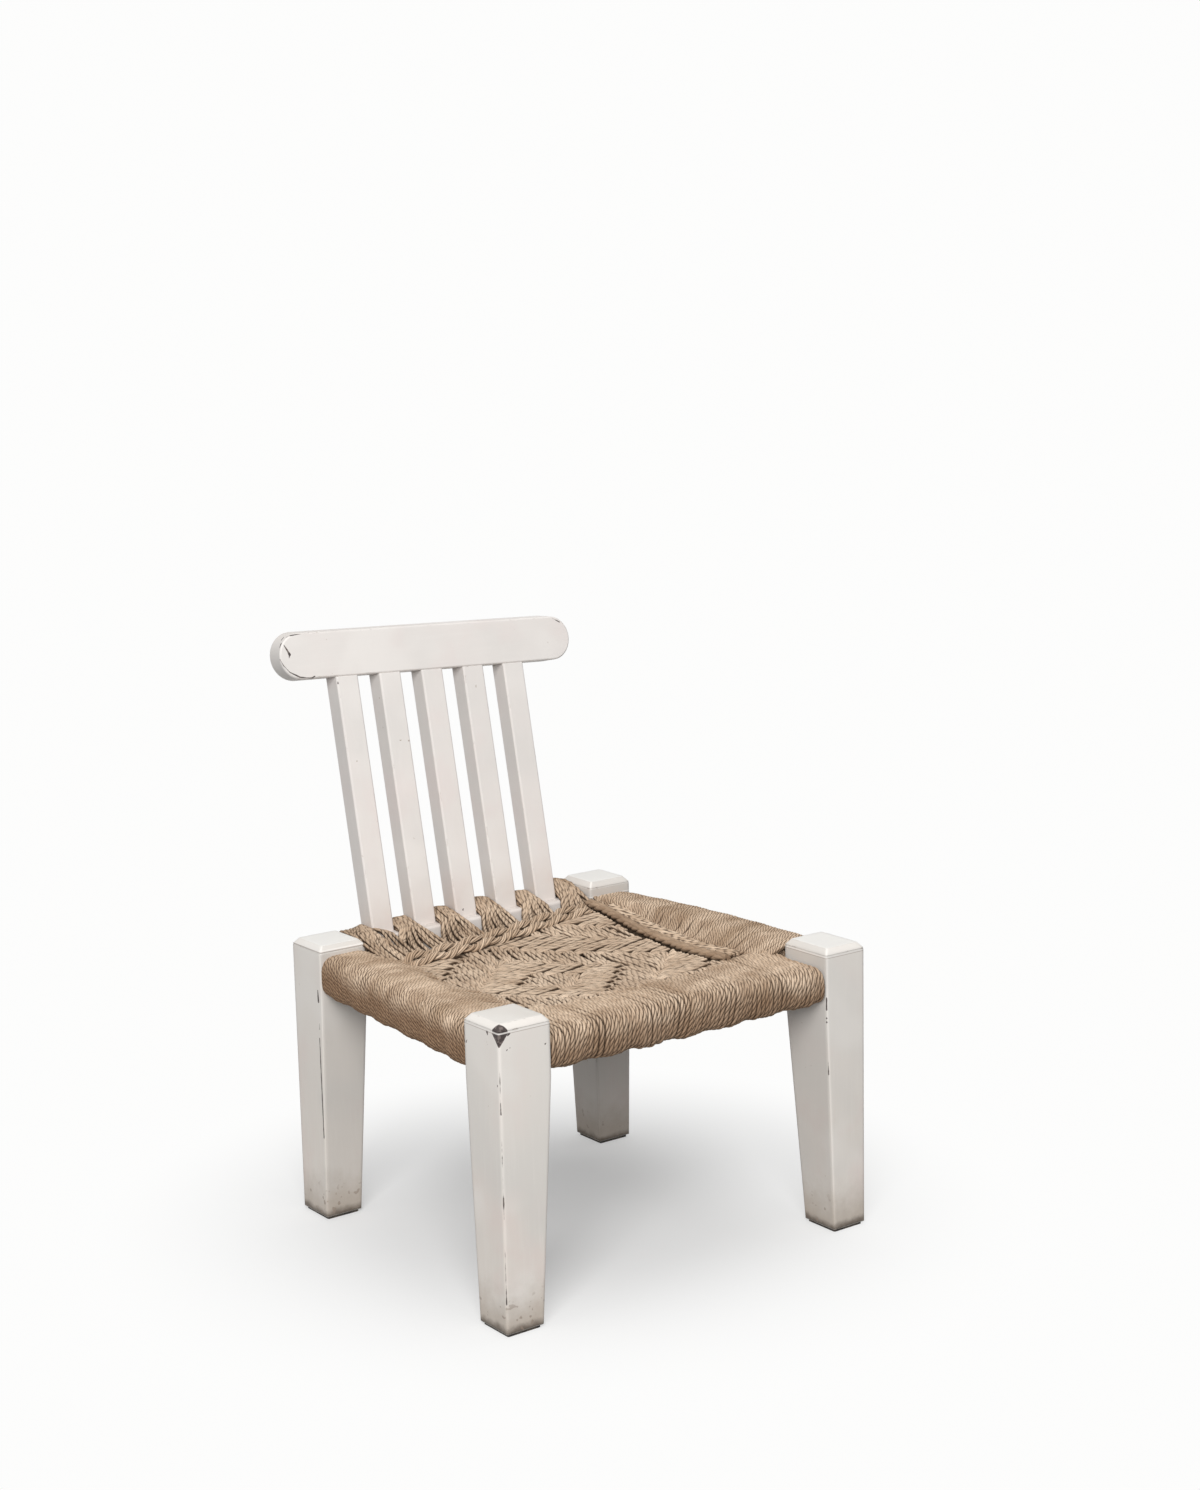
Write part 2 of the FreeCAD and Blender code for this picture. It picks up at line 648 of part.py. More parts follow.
BUTT = size("joint_gap")
ROPE = size("rope_build")
CLEAR = size("rope_clearance")
front_middle = worth(FRONT_RAIL_MIDDLE)
front_reach = worth("rail_depth / 2") + ROPE
front_low = worth("front_rail_level - front_rail_height / 2") - ROPE
front_high = worth("front_rail_level + front_rail_height / 2") + ROPE
front_wires = roll_sections(
    worth(CROSS_ENDS["front"][0]) + BUTT, worth(CROSS_ENDS["front"][1]) - BUTT,
    lambda run: (lambda across, up: V(run, front_middle - across, up)),
    front_reach, front_low, front_high)
front_core = Part.makeBox(
    size("front_width"), size("rail_depth") + 2 * CLEAR, size("front_rail_height") + 2 * CLEAR,
    V(-worth("front_width / 2"), front_middle - worth("rail_depth / 2") - CLEAR,
      front_low + ROPE - CLEAR))
wound_roll("front_winding", front_wires, front_core)


def centre_at(run):
    """Distance of a side rail's centre line from the middle of the chair."""
    return worth(side_centre("0")) - run * worth(SIDE_SLOPE)


for name, sign, level in (("left_winding", -1, "left_rail_level"), ("right_winding", 1, "right_rail_level")):
    middle = worth(level)
    high, low = middle + worth("side_rail_height / 2"), middle - worth("side_rail_height / 2")
    half = worth("rail_depth / 2")
    wires = roll_sections(
        worth(SIDE_FRONT[sign]) + BUTT, worth(SIDE_REAR[sign]) - BUTT,
        lambda run, sign=sign: (lambda across, up: V(sign * (centre_at(run) + across), run, up)),
        half + ROPE, low - ROPE, high + ROPE)
    past = worth("frame_depth / 2")
    ends = []
    for run in (-past, past):
        ends.append([V(sign * (centre_at(run) + a), run, z) for a, z in (
            (half + CLEAR, low - CLEAR), (half + CLEAR, high + CLEAR),
            (-half - CLEAR, high + CLEAR), (-half - CLEAR, low - CLEAR))])
    wound_roll(name, wires, plain_bar(*ends))


def bent_path(points, radius):
    """Straight runs joined by tangent arcs of one radius."""
    edges = []
    start = points[0]
    for before, corner, after in zip(points, points[1:], points[2:]):
        back, forth = (before - corner).normalize(), (after - corner).normalize()
        half_turn = back.getAngle(forth) / 2
        trim = radius / math.tan(half_turn)
        first, last = corner + back * trim, corner + forth * trim
        inward = (back + forth).normalize()
        middle = corner + inward * (radius / math.sin(half_turn) - radius)
        edges.append(Part.LineSegment(start, first).toShape())
        edges.append(Part.Arc(first, middle, last).toShape())
        start = last
    edges.append(Part.LineSegment(start, points[-1]).toShape())
    return Part.Wire(edges)


def cord_along(path, diameter, sides=CORD_SIDES):
    """Faceted cord swept along a path, its flats parallel to the first run."""
    start = path.OrderedVertexes[0].Point
    first = path.OrderedEdges[0]
    heading = (first.Vertexes[-1].Point - first.Vertexes[0].Point).normalize()
    if (first.Vertexes[0].Point - start).Length > (first.Vertexes[-1].Point - start).Length:
        heading = heading * -1
    upright = abs(heading.z) > max(abs(heading.x), abs(heading.y))
    across = heading.cross(X_AXIS if upright else Z_AXIS).normalize()
    over = heading.cross(across)
    radius = diameter / 2
    turn = 2 * math.pi / sides
    corners = [start + across * (radius * math.cos((i + 0.5) * turn))
               + over * (radius * math.sin((i + 0.5) * turn)) for i in range(sides)]
    pipe = Part.BRepOffsetAPI.MakePipeShell(path)
    pipe.add(Part.makePolygon(corners + [corners[0]]))
    pipe.build()
    pipe.makeSolid()
    return pipe.shape()


def least_gap(path, diameter, apart):
    """Smallest clear distance between turns of one cord that lie apart along it."""
    spots = path.discretize(Distance=diameter / 2)
    step = int(apart / (diameter / 2))
    least = min(spots[i].distanceToPoint(spots[j])
                for i in range(len(spots)) for j in range(i + step, len(spots)))
    return least - diameter


# Rear rail: between the slats, and outside the two end ones, the cord goes round
# the rail in five loops side by side. Each step to the next loop is underneath.
wrap_offset = size("wrap_cord") / 2 + size("wrap_clearance")
wrap_front = size("rear_rail_front") - wrap_offset
wrap_back = size("rear_rail_front") + size("rear_rail_depth") + wrap_offset
wrap_top = size("rear_rail_top") + wrap_offset
wrap_bottom = size("rear_rail_top") - size("rear_rail_height") - wrap_offset
outer_gap = (worth(slat_offset(SLAT_COUNT - 1)) + worth("slat_width / 2 + rear_width / 2 - post_size")) / 2
inner_gaps = [worth(slat_offset(i)) + size("slat_pitch") / 2 for i in range(SLAT_COUNT - 1)]
bundle_middles = [-outer_gap] + inner_gaps + [outer_gap]
for index, middle in enumerate(bundle_middles):
    route = [V(middle - size("wrap_spacing") * (WRAP_LOOPS - 1) / 2, wrap_front, worth(REAR_RAIL_LEVEL))]
    for loop in range(WRAP_LOOPS):
        x = middle + size("wrap_spacing") * (loop - (WRAP_LOOPS - 1) / 2)
        if loop:
            route.append(V(x, wrap_front, wrap_bottom))
        route.append(V(x, wrap_front, wrap_top))
        route.append(V(x, wrap_back, wrap_top))
        route.append(V(x, wrap_back, wrap_bottom))
    route.append(V(x + size("wrap_spacing") / 2, worth(REAR_RAIL_MIDDLE), wrap_bottom))
    path = bent_path(route, size("wrap_bend"))
    gap = least_gap(path, size("wrap_cord"), 4 * size("wrap_bend"))
    print(f"rear_wrap_{index + 1}: {WRAP_LOOPS} loops, least gap between turns {gap:.2f} mm")
    shaped(f"rear_wrap_{index + 1}", cord_along(path, size("wrap_cord")))

# Woven panel, set out on four corners: the inner faces of the side and front
# windings, and at the back the slanting line where the fanned cords meet the weave.
panel_front = front_middle + front_reach + size("panel_gap")
inner_face = worth("rail_depth / 2 + rope_build + panel_gap")
PANEL_STATIONS = 10
# Shares of the seam at which one fan gives way to the next, from the left
FAN_SHARES = (0, 0.08, 0.256, 0.413, 0.579, 0.726, 1)
SEAM_LEFT, SEAM_RIGHT = size("braid_left_x"), size("braid_right_x")


def seam(x):
    """Y of the line where the fans meet the weave."""
    share = (x - SEAM_LEFT) / (SEAM_RIGHT - SEAM_LEFT)
    return size("braid_left_y") + share * (size("braid_right_y") - size("braid_left_y"))


def edge_x(sign, y):
    return sign * (centre_at(y) - inner_face)


def rear_corner(sign):
    """Where the seam meets the inner face of a side winding."""
    y = size("braid_left_y" if sign < 0 else "braid_right_y")
    for _ in range(8):
        y = seam(edge_x(sign, y))
    return y


REAR_Y = {sign: rear_corner(sign) for sign in (-1, 1)}
EDGE_LEVEL = {-1: size("panel_left_level"), 1: size("panel_right_level")}


def dip(across, along):
    """How far the panel hangs below the flat between its edges."""
    return size("panel_sag") * math.sin(math.pi * along) * 4 * across * (1 - across)


def panel_point(across, along, drop=0.0):
    """Point of the panel's upper face; both shares run from 0 to 1."""
    ends = []
    for sign in (-1, 1):
        y = panel_front + along * (REAR_Y[sign] - panel_front)
        ends.append(V(edge_x(sign, y), y, EDGE_LEVEL[sign]))
    spot = ends[0] + (ends[1] - ends[0]) * across
    return spot - Z_AXIS * (dip(across, along) + drop)


def panel_level(x, y):
    """Height of the panel's upper face at a place on it."""
    left, right = edge_x(-1, y), edge_x(1, y)
    across = (x - left) / (right - left)
    along = (y - panel_front) / (seam(x) - panel_front)
    return EDGE_LEVEL[-1] + across * (EDGE_LEVEL[1] - EDGE_LEVEL[-1]) - dip(across, along)


def panel_section(along):
    thick = size("panel_thickness")
    top = [panel_point(share, along) for share in (0, 0.5, 1)]
    low = [panel_point(share, along, thick) for share in (1, 0.5, 0)]
    if along in (0, 1):
        upper = Part.LineSegment(top[0], top[2]).toShape()
        lower = Part.LineSegment(low[0], low[2]).toShape()
    else:
        upper = Part.Arc(*top).toShape()
        lower = Part.Arc(*low).toShape()
    sides = (Part.LineSegment(top[2], low[0]).toShape(), Part.LineSegment(low[2], top[0]).toShape())
    return Part.Wire([upper, sides[0], lower, sides[1]])


stations = [i / PANEL_STATIONS for i in range(PANEL_STATIONS + 1)]
shaped("woven_seat", Part.makeLoft([panel_section(share) for share in stations], True, True))

# Fans: the cords come over the wrapped rail as narrow sheaves, drop in front of
# it and spread until they meet side by side along the seam.
rear_left = panel_point(0, 1)
rear_right = panel_point(1, 1)
gap = size("sheaf_gap")
wrap_crest = wrap_top + size("wrap_cord") / 2 + size("lay_clearance")
brow = wrap_front - size("wrap_cord") / 2 - size("lay_clearance")


def sheaf_section(left, right, drop, crown):
    """Flat-bottomed section with a slightly crowned top between two points."""
    middle = (left + right) * 0.5 + Z_AXIS * crown
    low_left, low_right = left - Z_AXIS * drop, right - Z_AXIS * drop
    return Part.Wire([Part.Arc(left, middle, right).toShape(),
                      Part.LineSegment(right, low_right).toShape(),
                      Part.LineSegment(low_right, low_left).toShape(),
                      Part.LineSegment(low_left, left).toShape()])


for index, middle in enumerate(bundle_middles):
    sections = []
    for y, width, height, drop in (
            ("sheaf_back", "sheaf_width", "sheaf_back_height", 0),
            ("sheaf_ridge", "sheaf_width", "sheaf_ridge_height", 0),
            (brow, "sheaf_width", "sheaf_brow_height", 0),
            ("sheaf_neck", "sheaf_neck_width", "sheaf_neck_height", size("sheaf_neck_drop"))):
        y = size(y) if isinstance(y, str) else y
        top, half = wrap_crest + size(height) - drop / 2, size(width) / 2
        left_x = max(middle - half, edge_x(-1, y) + gap) if drop else middle - half
        right_x = min(middle + half, edge_x(1, y) - gap) if drop else middle + half
        sections.append(sheaf_section(V(left_x, y, top), V(right_x, y, top),
                                      size(height) + drop, size("sheaf_crown")))
    span = rear_right - rear_left
    back = Y_AXIS * size("panel_gap")
    left = rear_left + span * FAN_SHARES[index] + X_AXIS * gap + back
    right = rear_left + span * FAN_SHARES[index + 1] - X_AXIS * gap + back
    sections.append(sheaf_section(left, right, size("panel_thickness"), size("sheaf_crown")))
    shaped(f"rope_fan_{index + 1}", Part.makeLoft(sections, True, True))

# Two thick twisted strands lie side by side over the seam, the rear one higher
# on the rising fans.
strand = size("braid_cord")
reach = strand + size("lay_clearance")
strand_run = math.sqrt(reach ** 2 - size("braid_step") ** 2)
SEAM_SHARES = (0, 0.34, 0.67, 1)
for name, rear in (("braid_strand_front", 0), ("braid_strand_rear", 1)):
    route = []
    for share in SEAM_SHARES:
        x = SEAM_LEFT + share * (SEAM_RIGHT - SEAM_LEFT)
        across = (x - rear_left.x) / (rear_right.x - rear_left.x)
        level = rear_left.z + across * (rear_right.z - rear_left.z)
        bow = size("braid_bow") * math.sin(math.pi * share)
        y = seam(x) - strand / 2 - bow + rear * strand_run
        route.append(V(x, y, level + strand / 2 + size("lay_clearance") + rear * size("braid_step")))
    shaped(name, cord_along(bent_path(route, 3 * strand), strand))

# Stout cord lying on the panel, and the flat plait between it and the winding
stout = size("side_cord")
route = []
for place in ("rear", "middle", "low", "front"):
    y = size("frame_depth") * size(f"side_cord_{place}_share")
    x = centre_at(y) - size(f"side_cord_{place}_inset")
    route.append(V(x, y, panel_level(x, y) + stout / 2 + size("lay_clearance")))
shaped("side_cord", cord_along(bent_path(route, size("side_cord_bend")), stout))
PLAIT_STATIONS = 8
wires = []
for i in range(PLAIT_STATIONS + 1):
    share = i / PLAIT_STATIONS
    y = size("frame_depth") * size("plait_reach_share") * (1 - 2 * share)
    inset = size("plait_rear_inset") + share * (size("plait_front_inset") - size("plait_rear_inset"))
    x = centre_at(y) - inset
    half = size("plait_width") / 2
    low_left = V(x - half, y, panel_level(x - half, y) + size("lay_clearance"))
    low_right = V(x + half, y, panel_level(x + half, y) + size("lay_clearance"))
    ridge = V(x, y, panel_level(x, y) + size("lay_clearance") + size("plait_height"))
    arch = Part.Arc(low_left, ridge, low_right).toShape()
    wires.append(Part.Wire([arch, Part.LineSegment(low_right, low_left).toShape()]))
shaped("side_plait", Part.makeLoft(wires, True, True))

DOC.recompute()
faulty = [thing.Name for thing in DOC.Objects if {"Invalid", "Error"} & set(thing.State)]
for name, thing in NODES.items():
    shape = thing.Shape
    if shape.isNull() or not shape.isValid() or not shape.Solids:
        faulty.append(name)
if faulty:
    raise SystemExit(f"not built: {faulty}")
# The winding on the front rail and the crest board's back edge are the ends of the
# overall box.
crest_back = NODES["crest_rail"].Shape.optimalBoundingBox().YMax
winding_front = NODES["front_winding"].Shape.optimalBoundingBox().YMin
set_back = (crest_back + winding_front) / 2
for name, thing in NODES.items():
    thing.Shape.translated(V(0, -set_back, 0)).exportStep(f"parts/{name}.step")
print(f"{len(NODES)} pieces written, {set_back:.3f} mm forward of where they were set out")
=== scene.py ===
import math
import random

import bpy
import numpy as np
from mathutils import Matrix, Vector


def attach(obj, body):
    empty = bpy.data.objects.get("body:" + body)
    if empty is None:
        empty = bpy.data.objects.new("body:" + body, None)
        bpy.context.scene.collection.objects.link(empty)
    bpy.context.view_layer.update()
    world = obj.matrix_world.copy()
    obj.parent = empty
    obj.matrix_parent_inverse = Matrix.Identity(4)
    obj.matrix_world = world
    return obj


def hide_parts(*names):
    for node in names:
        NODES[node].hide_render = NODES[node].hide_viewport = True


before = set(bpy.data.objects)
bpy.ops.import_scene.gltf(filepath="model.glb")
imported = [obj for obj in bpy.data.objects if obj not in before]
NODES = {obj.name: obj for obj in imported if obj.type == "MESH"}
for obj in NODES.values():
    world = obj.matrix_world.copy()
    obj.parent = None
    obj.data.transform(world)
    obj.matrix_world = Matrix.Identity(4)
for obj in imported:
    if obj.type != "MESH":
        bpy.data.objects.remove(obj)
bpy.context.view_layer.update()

SCENE = bpy.context.scene

# ---------------------------------------------------------------------------
# Camera: in front of the chair, off to its left, and a little above the seat. Left
# and right are as it sees them, -x and +x. Every place below is in millimetres from
# the floor point midway between the posts; SETBACK leads to the frame's own origin.
MM = 0.001
SETBACK = 35.727
EYE = (-1696.02, -2375.36, 1132.99)
LENS = 58.65
azimuth, elevation, roll = (math.radians(angle) for angle in (-36.5, 10.21, -1.27))


def place(x, y, z):
    """Millimetres from the middle of the posts to metres in the frame."""
    return Vector((x * MM, (y - SETBACK) * MM, z * MM))


back = Vector((math.sin(azimuth) * math.cos(elevation),
               -math.cos(azimuth) * math.cos(elevation), math.sin(elevation)))
level = Vector((math.cos(azimuth), math.sin(azimuth), 0))
upright = back.cross(level)
right = level * math.cos(roll) + upright * math.sin(roll)
up = upright * math.cos(roll) - level * math.sin(roll)
camera_data = bpy.data.cameras.new("camera")
camera_data.lens = LENS
camera_data.clip_end = 50
camera = bpy.data.objects.new("camera", camera_data)
camera.matrix_world = Matrix.Translation(place(*EYE)) @ Matrix(
    (right, up, back)).transposed().to_4x4()
SCENE.collection.objects.link(camera)
SCENE.camera = camera
SCENE.view_settings.view_transform = "Standard"


# ---------------------------------------------------------------------------
# Floor and light: a white studio floor that keeps the chair's shadow and fades
# into a white surround, with two large soft lamps, one to the left and one above.
class Flow:
    """A number, colour or vector socket inside one node tree, for sums in Python."""

    def __init__(self, tree, socket=None):
        self.tree = tree
        self.socket = socket

    def node(self, kind, settings=None, output=0, **sockets):
        """A node with its settings first, then its sockets by name or number."""
        made = self.tree.nodes.new(kind)
        for key, value in (settings or {}).items():
            setattr(made, key, value)
        for key, value in sockets.items():
            index = key[1:] if key[0] == "_" and key[1:].isdigit() else None
            socket = made.inputs[int(index)] if index else made.inputs[key.replace("_", " ")]
            if isinstance(value, Flow):
                self.tree.links.new(value.socket, socket)
            else:
                socket.default_value = value
        return Flow(self.tree, made.outputs[output])

    def maths(self, operation, *values):
        sockets = {f"_{i}": v for i, v in enumerate((self, *values))}
        return self.node("ShaderNodeMath", {"operation": operation}, **sockets)

    def vector(self, operation, *values, output=0):
        sockets = {f"_{i}": v for i, v in enumerate((self, *values))}
        return self.node("ShaderNodeVectorMath", {"operation": operation}, output=output, **sockets)

    def scaled(self, vector):
        """vector, a Flow or plain numbers, made this many times as long."""
        return self.node("ShaderNodeVectorMath", {"operation": "SCALE"}, _0=vector, Scale=self)

    def axis(self, index):
        return self.node("ShaderNodeSeparateXYZ", output=index, _0=self)

    def __add__(self, other): return self.maths("ADD", other)
    def __radd__(self, other): return self.maths("ADD", other)
    def __sub__(self, other): return self.maths("SUBTRACT", other)
    def __rsub__(self, other): return (self * -1.0) + other
    def __mul__(self, other): return self.maths("MULTIPLY", other)
    def __rmul__(self, other): return self.maths("MULTIPLY", other)

    def smooth(self, low, high):
        """0 at low, 1 at high, with a soft step between them."""
        return self.node("ShaderNodeMapRange", {"interpolation_type": "SMOOTHSTEP", "clamp": True},
                         _0=self, _1=low, _2=high, _3=0.0, _4=1.0)

    def mix(self, first, second):
        """first where this is 0, second where it is 1; both are colours."""
        colours = [c if isinstance(c, Flow) else (*c, 1) for c in (first, second)]
        return self.node("ShaderNodeMix", {"data_type": "RGBA", "clamp_factor": True}, output=2,
                         _0=self, _6=colours[0], _7=colours[1])

    def noise(self, spot, scale, detail=2.0, roughness=0.5):
        return self.node("ShaderNodeTexNoise", Vector=spot, Scale=scale, Detail=detail,
                         Roughness=roughness)


def new_material(name):
    """A material, its Principled shader and a Flow to build from."""
    material = bpy.data.materials.new(name)
    material.use_nodes = True
    return material, material.node_tree.nodes["Principled BSDF"], Flow(material.node_tree)


def drive(shader, name, value):
    """Links a Flow to a socket of the shader."""
    value.tree.links.new(value.socket, shader.inputs[name])


SURROUND = (1.0, 1.0, 0.995, 1)
DIM, EXTRA_WHERE_SEEN = 0.215, 0.765


def surround_strength(flow):
    """White where the camera or a gloss sees it, and dim as a light."""
    seen = flow.node("ShaderNodeLightPath")
    mirrored = Flow(flow.tree, seen.socket.node.outputs["Is Glossy Ray"])
    return seen.maths("MAXIMUM", mirrored) * EXTRA_WHERE_SEEN + DIM


FLOOR_HALF = 3.4
floor_mesh = bpy.data.meshes.new("floor")
floor_mesh.from_pydata([(x * FLOOR_HALF, y * FLOOR_HALF, 0)
                        for x, y in ((-1, -1), (1, -1), (1, 1), (-1, 1))], [], [(0, 1, 2, 3)])
floor = bpy.data.objects.new("floor", floor_mesh)
SCENE.collection.objects.link(floor)
floor_paint, shader, flow = new_material("floor_white")
floor_paint.node_tree.nodes.remove(shader)
floor_paint.cycles.emission_sampling = "NONE"
matt = flow.node("ShaderNodeBsdfDiffuse", Color=(0.94, 0.95, 0.96, 1))
bright = flow.node("ShaderNodeEmission", Color=SURROUND, Strength=surround_strength(flow))
reach = flow.node("ShaderNodeTexCoord", output=3).vector("LENGTH", output=1)
fade = flow.node("ShaderNodeMixShader", _0=reach.smooth(0.14, 0.60) * 0.74 + 0.26, _1=matt, _2=bright)
drive(floor_paint.node_tree.nodes["Material Output"], "Surface", fade)
floor_mesh.materials.append(floor_paint)

world = bpy.data.worlds.new("surround")
SCENE.world = world
world.use_nodes = True
sky = world.node_tree.nodes["Background"]
sky.inputs["Color"].default_value = SURROUND
drive(sky, "Strength", surround_strength(Flow(world.node_tree)))


def softbox(name, where, aim, width, power, tint):
    lamp = bpy.data.lights.new(name, "AREA")
    lamp.size = width
    lamp.energy = power
    lamp.color = tint
    holder = bpy.data.objects.new(name, lamp)
    holder.location = where
    holder.rotation_mode = "QUATERNION"
    holder.rotation_quaternion = (Vector(aim) - Vector(where)).to_track_quat("-Z", "Y")
    SCENE.collection.objects.link(holder)


softbox("key_light", (-2.58, -3.01, 2.69), (0, 0, 0.35), 2.4, 188, (1.0, 0.987, 0.970))
softbox("top_light", (0.3, 0.1, 2.9), (0, 0, 0.3), 1.9, 20, (1.0, 0.995, 0.985))


# ---------------------------------------------------------------------------
# Posts: four square posts, tapered inside below the rails that are tenoned into
# them. They are dark wood under old off-white brush paint, rubbed thin on the
# arrises, flaked where they were knocked, and grimy near the floor.
BARE_DARK, BARE_GREY = (0.055, 0.042, 0.040), (0.17, 0.14, 0.13)
WORN_AND_SHADE = (0.30, 0.235, 0.19)
GRIME_AND_SHADE = (0.330, 0.255, 0.185)
FLOOR_DIRT = (0.10, 0.075, 0.055)
SIDE_SHADE_AND_DUST, INNER_SHADE = (0.36, 0.34, 0.325), (0.36, 0.335, 0.31)
ROPE_STAIN = (0.56, 0.44, 0.37)
LIT_TOP_WHITE, BEAD_HIGHLIGHT = (0.935, 0.930, 0.905), (0.90, 0.87, 0.84)


def painted_wood(name, grain_axis, tones, flakes, beads=(), side_shade_and_dust=0.0, inner_shade=0.0,
                 rounding=0.002, stain=0.0, shaded_cap_near=None):
    """Paint for one kind of piece, whose grain runs along grain_axis.

    tones are the paint, its pink and grey patches, and its cleanest places, which also
    give the arrises their painted highlight. flakes are patches of lost paint, (start,
    end, half width at each), and beads are levels of a scribed line, in millimetres,
    each drawn as a painted highlight over a painted shadow line. side_shade_and_dust
    darkens the faces to the left with painted shade and some dust, inner_shade darkens
    those towards the other posts with painted shade, and stain darkens what is near the
    rope. shaded_cap_near is the place of the cap browned with painted shade, while the
    other posts' caps are made whiter with painted light.
    """
    paint, pink, grey, clean_and_highlight = tones
    material, shader, flow = new_material(name)
    spot = flow.node("ShaderNodeTexCoord", output=3)
    facing = flow.node("ShaderNodeNewGeometry", output=1)
    height = spot.axis(2)
    blotch = flow.noise(spot, 16.0, 3.0)
    cloud = flow.noise(spot, 7.0, 2.0, 0.4)
    fresh = flow.noise(spot, 9.5, 2.0, 0.45)
    colour = blotch.smooth(0.47, 0.68).mix(paint, pink)
    colour = (cloud.smooth(0.48, 0.70) * 0.7).mix(colour, grey)
    colour = (fresh.smooth(0.50, 0.68) * 0.75).mix(colour, clean_and_highlight)

    # Brush marks and the grain beneath them
    stretch = [60.0, 60.0, 60.0]
    stretch[grain_axis] = 5.0
    along_grain = flow.node("ShaderNodeMapping", Vector=spot, Scale=tuple(stretch))
    grain = flow.noise(along_grain, 3.0, 4.0, 0.6)
    colour = (grain.smooth(0.45, 0.75) * 0.22).mix(colour, clean_and_highlight)
    colour = ((1 - grain).smooth(0.58, 0.74) * 0.12).mix(colour, grey)
    # Paler higher up and darker towards the floor
    colour = (height.smooth(0.06, 0.34) * 0.60).mix(colour, clean_and_highlight)

    # Faces that look up: without a given place, a thin brown bloom of dust; with one, painted
    # light makes them whiter and painted shade browns the cap nearest it
    top = facing.axis(2).smooth(0.5, 0.95)
    bloom_and_shade = cloud.smooth(0.35, 0.6) * 0.16
    if shaded_cap_near:
        # Painted light: the post caps whiter
        colour = (top * 0.75).mix(colour, LIT_TOP_WHITE)
        # Painted shade: a brown bloom on the cap nearest the given place
        away = spot.vector("DISTANCE", tuple(place(*shaded_cap_near)), output=1)
        bloom_and_shade = (1 - away.smooth(0.06, 0.15)) * (cloud.smooth(0.35, 0.6) * 0.12 + 0.16)
    colour = (top * bloom_and_shade).mix(colour, GRIME_AND_SHADE)
    # Painted shade, with some dust, on the faces to the left
    if side_shade_and_dust:
        colour = ((facing.axis(0) * -1.0).smooth(0.5, 0.9) * side_shade_and_dust).mix(colour, SIDE_SHADE_AND_DUST)
    # Painted shade on the faces towards the other posts
    if inner_shade:
        inward = (facing.axis(0) * spot.axis(0).maths("SIGN")).maths(
            "MINIMUM", facing.axis(1) * spot.axis(1).maths("SIGN"))
        colour = ((inward * -1.0).smooth(0.5, 0.9) * inner_shade).mix(colour, INNER_SHADE)

    # Brown where the piece meets the rope, dark speckle, and dirt from the floor
    by_rope = (1 - height.smooth(0.355, 0.425)) * (blotch.smooth(0.3, 0.7) * 0.5 + 0.5)
    colour = (by_rope * stain).mix(colour, ROPE_STAIN)
    specks = flow.noise(spot, 150.0).smooth(0.735, 0.77)
    specks = specks * flow.noise(spot, 11.0, 1.0).smooth(0.50, 0.62)
    colour = (specks * 0.75).mix(colour, GRIME_AND_SHADE)
    ragged = flow.noise(spot, 38.0, 4.0, 0.65)
    low = 1 - (height + ragged * -0.05).smooth(-0.022, 0.05)
    colour = (low * 0.60).mix(colour, GRIME_AND_SHADE)
    lowest = 1 - (height + ragged * -0.016).smooth(-0.004, 0.007)
    colour = (lowest * 0.85).mix(colour, FLOOR_DIRT)
    dots = flow.noise(spot, 120.0, 1.0).smooth(0.66, 0.70) * (1 - height.smooth(0.02, 0.06))
    colour = (dots * 0.7).mix(colour, WORN_AND_SHADE)

    # Arrises: a painted highlight along them, and wear where they are broken; a bevelled
    # normal differs from the flat one only near edges
    breaks = flow.noise(spot, 55.0, 3.0, 0.6)
    bevel = flow.node("ShaderNodeBevel", {"samples": 6}, Radius=0.0022)
    edge = (1 - bevel.vector("DOT_PRODUCT", facing, output=1)).smooth(0.015, 0.09)
    worn = edge * breaks.smooth(0.56, 0.66)
    # Painted highlight along the arrises
    colour = (edge * 0.60).mix(colour, clean_and_highlight)
    colour = (worn * 0.55).mix(colour, WORN_AND_SHADE)

    # Scribed beads and flaked patches: a painted shadow line under each bead, bare wood,
    # and a painted highlight along each bead over both
    for bead in beads:
        bead_shadow_line = (height - (bead - 1.1) * MM).maths("ABSOLUTE")
        colour = ((1 - bead_shadow_line.smooth(0.0002, 0.0009)) * 0.55).mix(colour, WORN_AND_SHADE)
    bare = worn * 0.5
    wobble = (breaks - 0.5) * 0.0022
    wood = flow.noise(spot, 240.0, 1.0).smooth(0.5, 0.66).mix(BARE_DARK, BARE_GREY)
    for start, end, start_half, end_half in flakes:
        start, end = place(*start), place(*end)
        run = end - start
        ray = spot.vector("SUBTRACT", tuple(start))
        share = ray.vector("DOT_PRODUCT", tuple(run / run.length_squared), output=1)
        share = flow.node("ShaderNodeClamp", Value=share)
        away = ray.vector("SUBTRACT", share.scaled(tuple(run))).vector("LENGTH", output=1)
        half = share * ((end_half - start_half) * MM) + start_half * MM
        flake = 1 - (away + wobble - half).smooth(-0.0004, 0.0003)
        colour = flake.mix(colour, wood)
        bare = bare + flake
    # Painted highlight along each bead
    for bead in beads:
        bead_highlight_line = (height - bead * MM).maths("ABSOLUTE")
        colour = ((1 - bead_highlight_line.smooth(0.0006, 0.0011)) * 0.8).mix(colour, BEAD_HIGHLIGHT)

    drive(shader, "Base Color", colour)
    drive(shader, "Roughness", grain * 0.2 + 0.42)
    shader.inputs["Specular IOR Level"].default_value = 0.35
    relief = grain * 0.25 + blotch * 0.35 - bare * 1.2
    soft = flow.node("ShaderNodeBevel", {"samples": 6}, Radius=rounding)
    drive(shader, "Normal", flow.node("ShaderNodeBump", Strength=0.22, Distance=0.0012,
                                      Height=relief, Normal=soft))
    return material


def repaint(node_name, material):
    mesh = NODES[node_name].data
    mesh.materials.clear()
    mesh.materials.append(material)


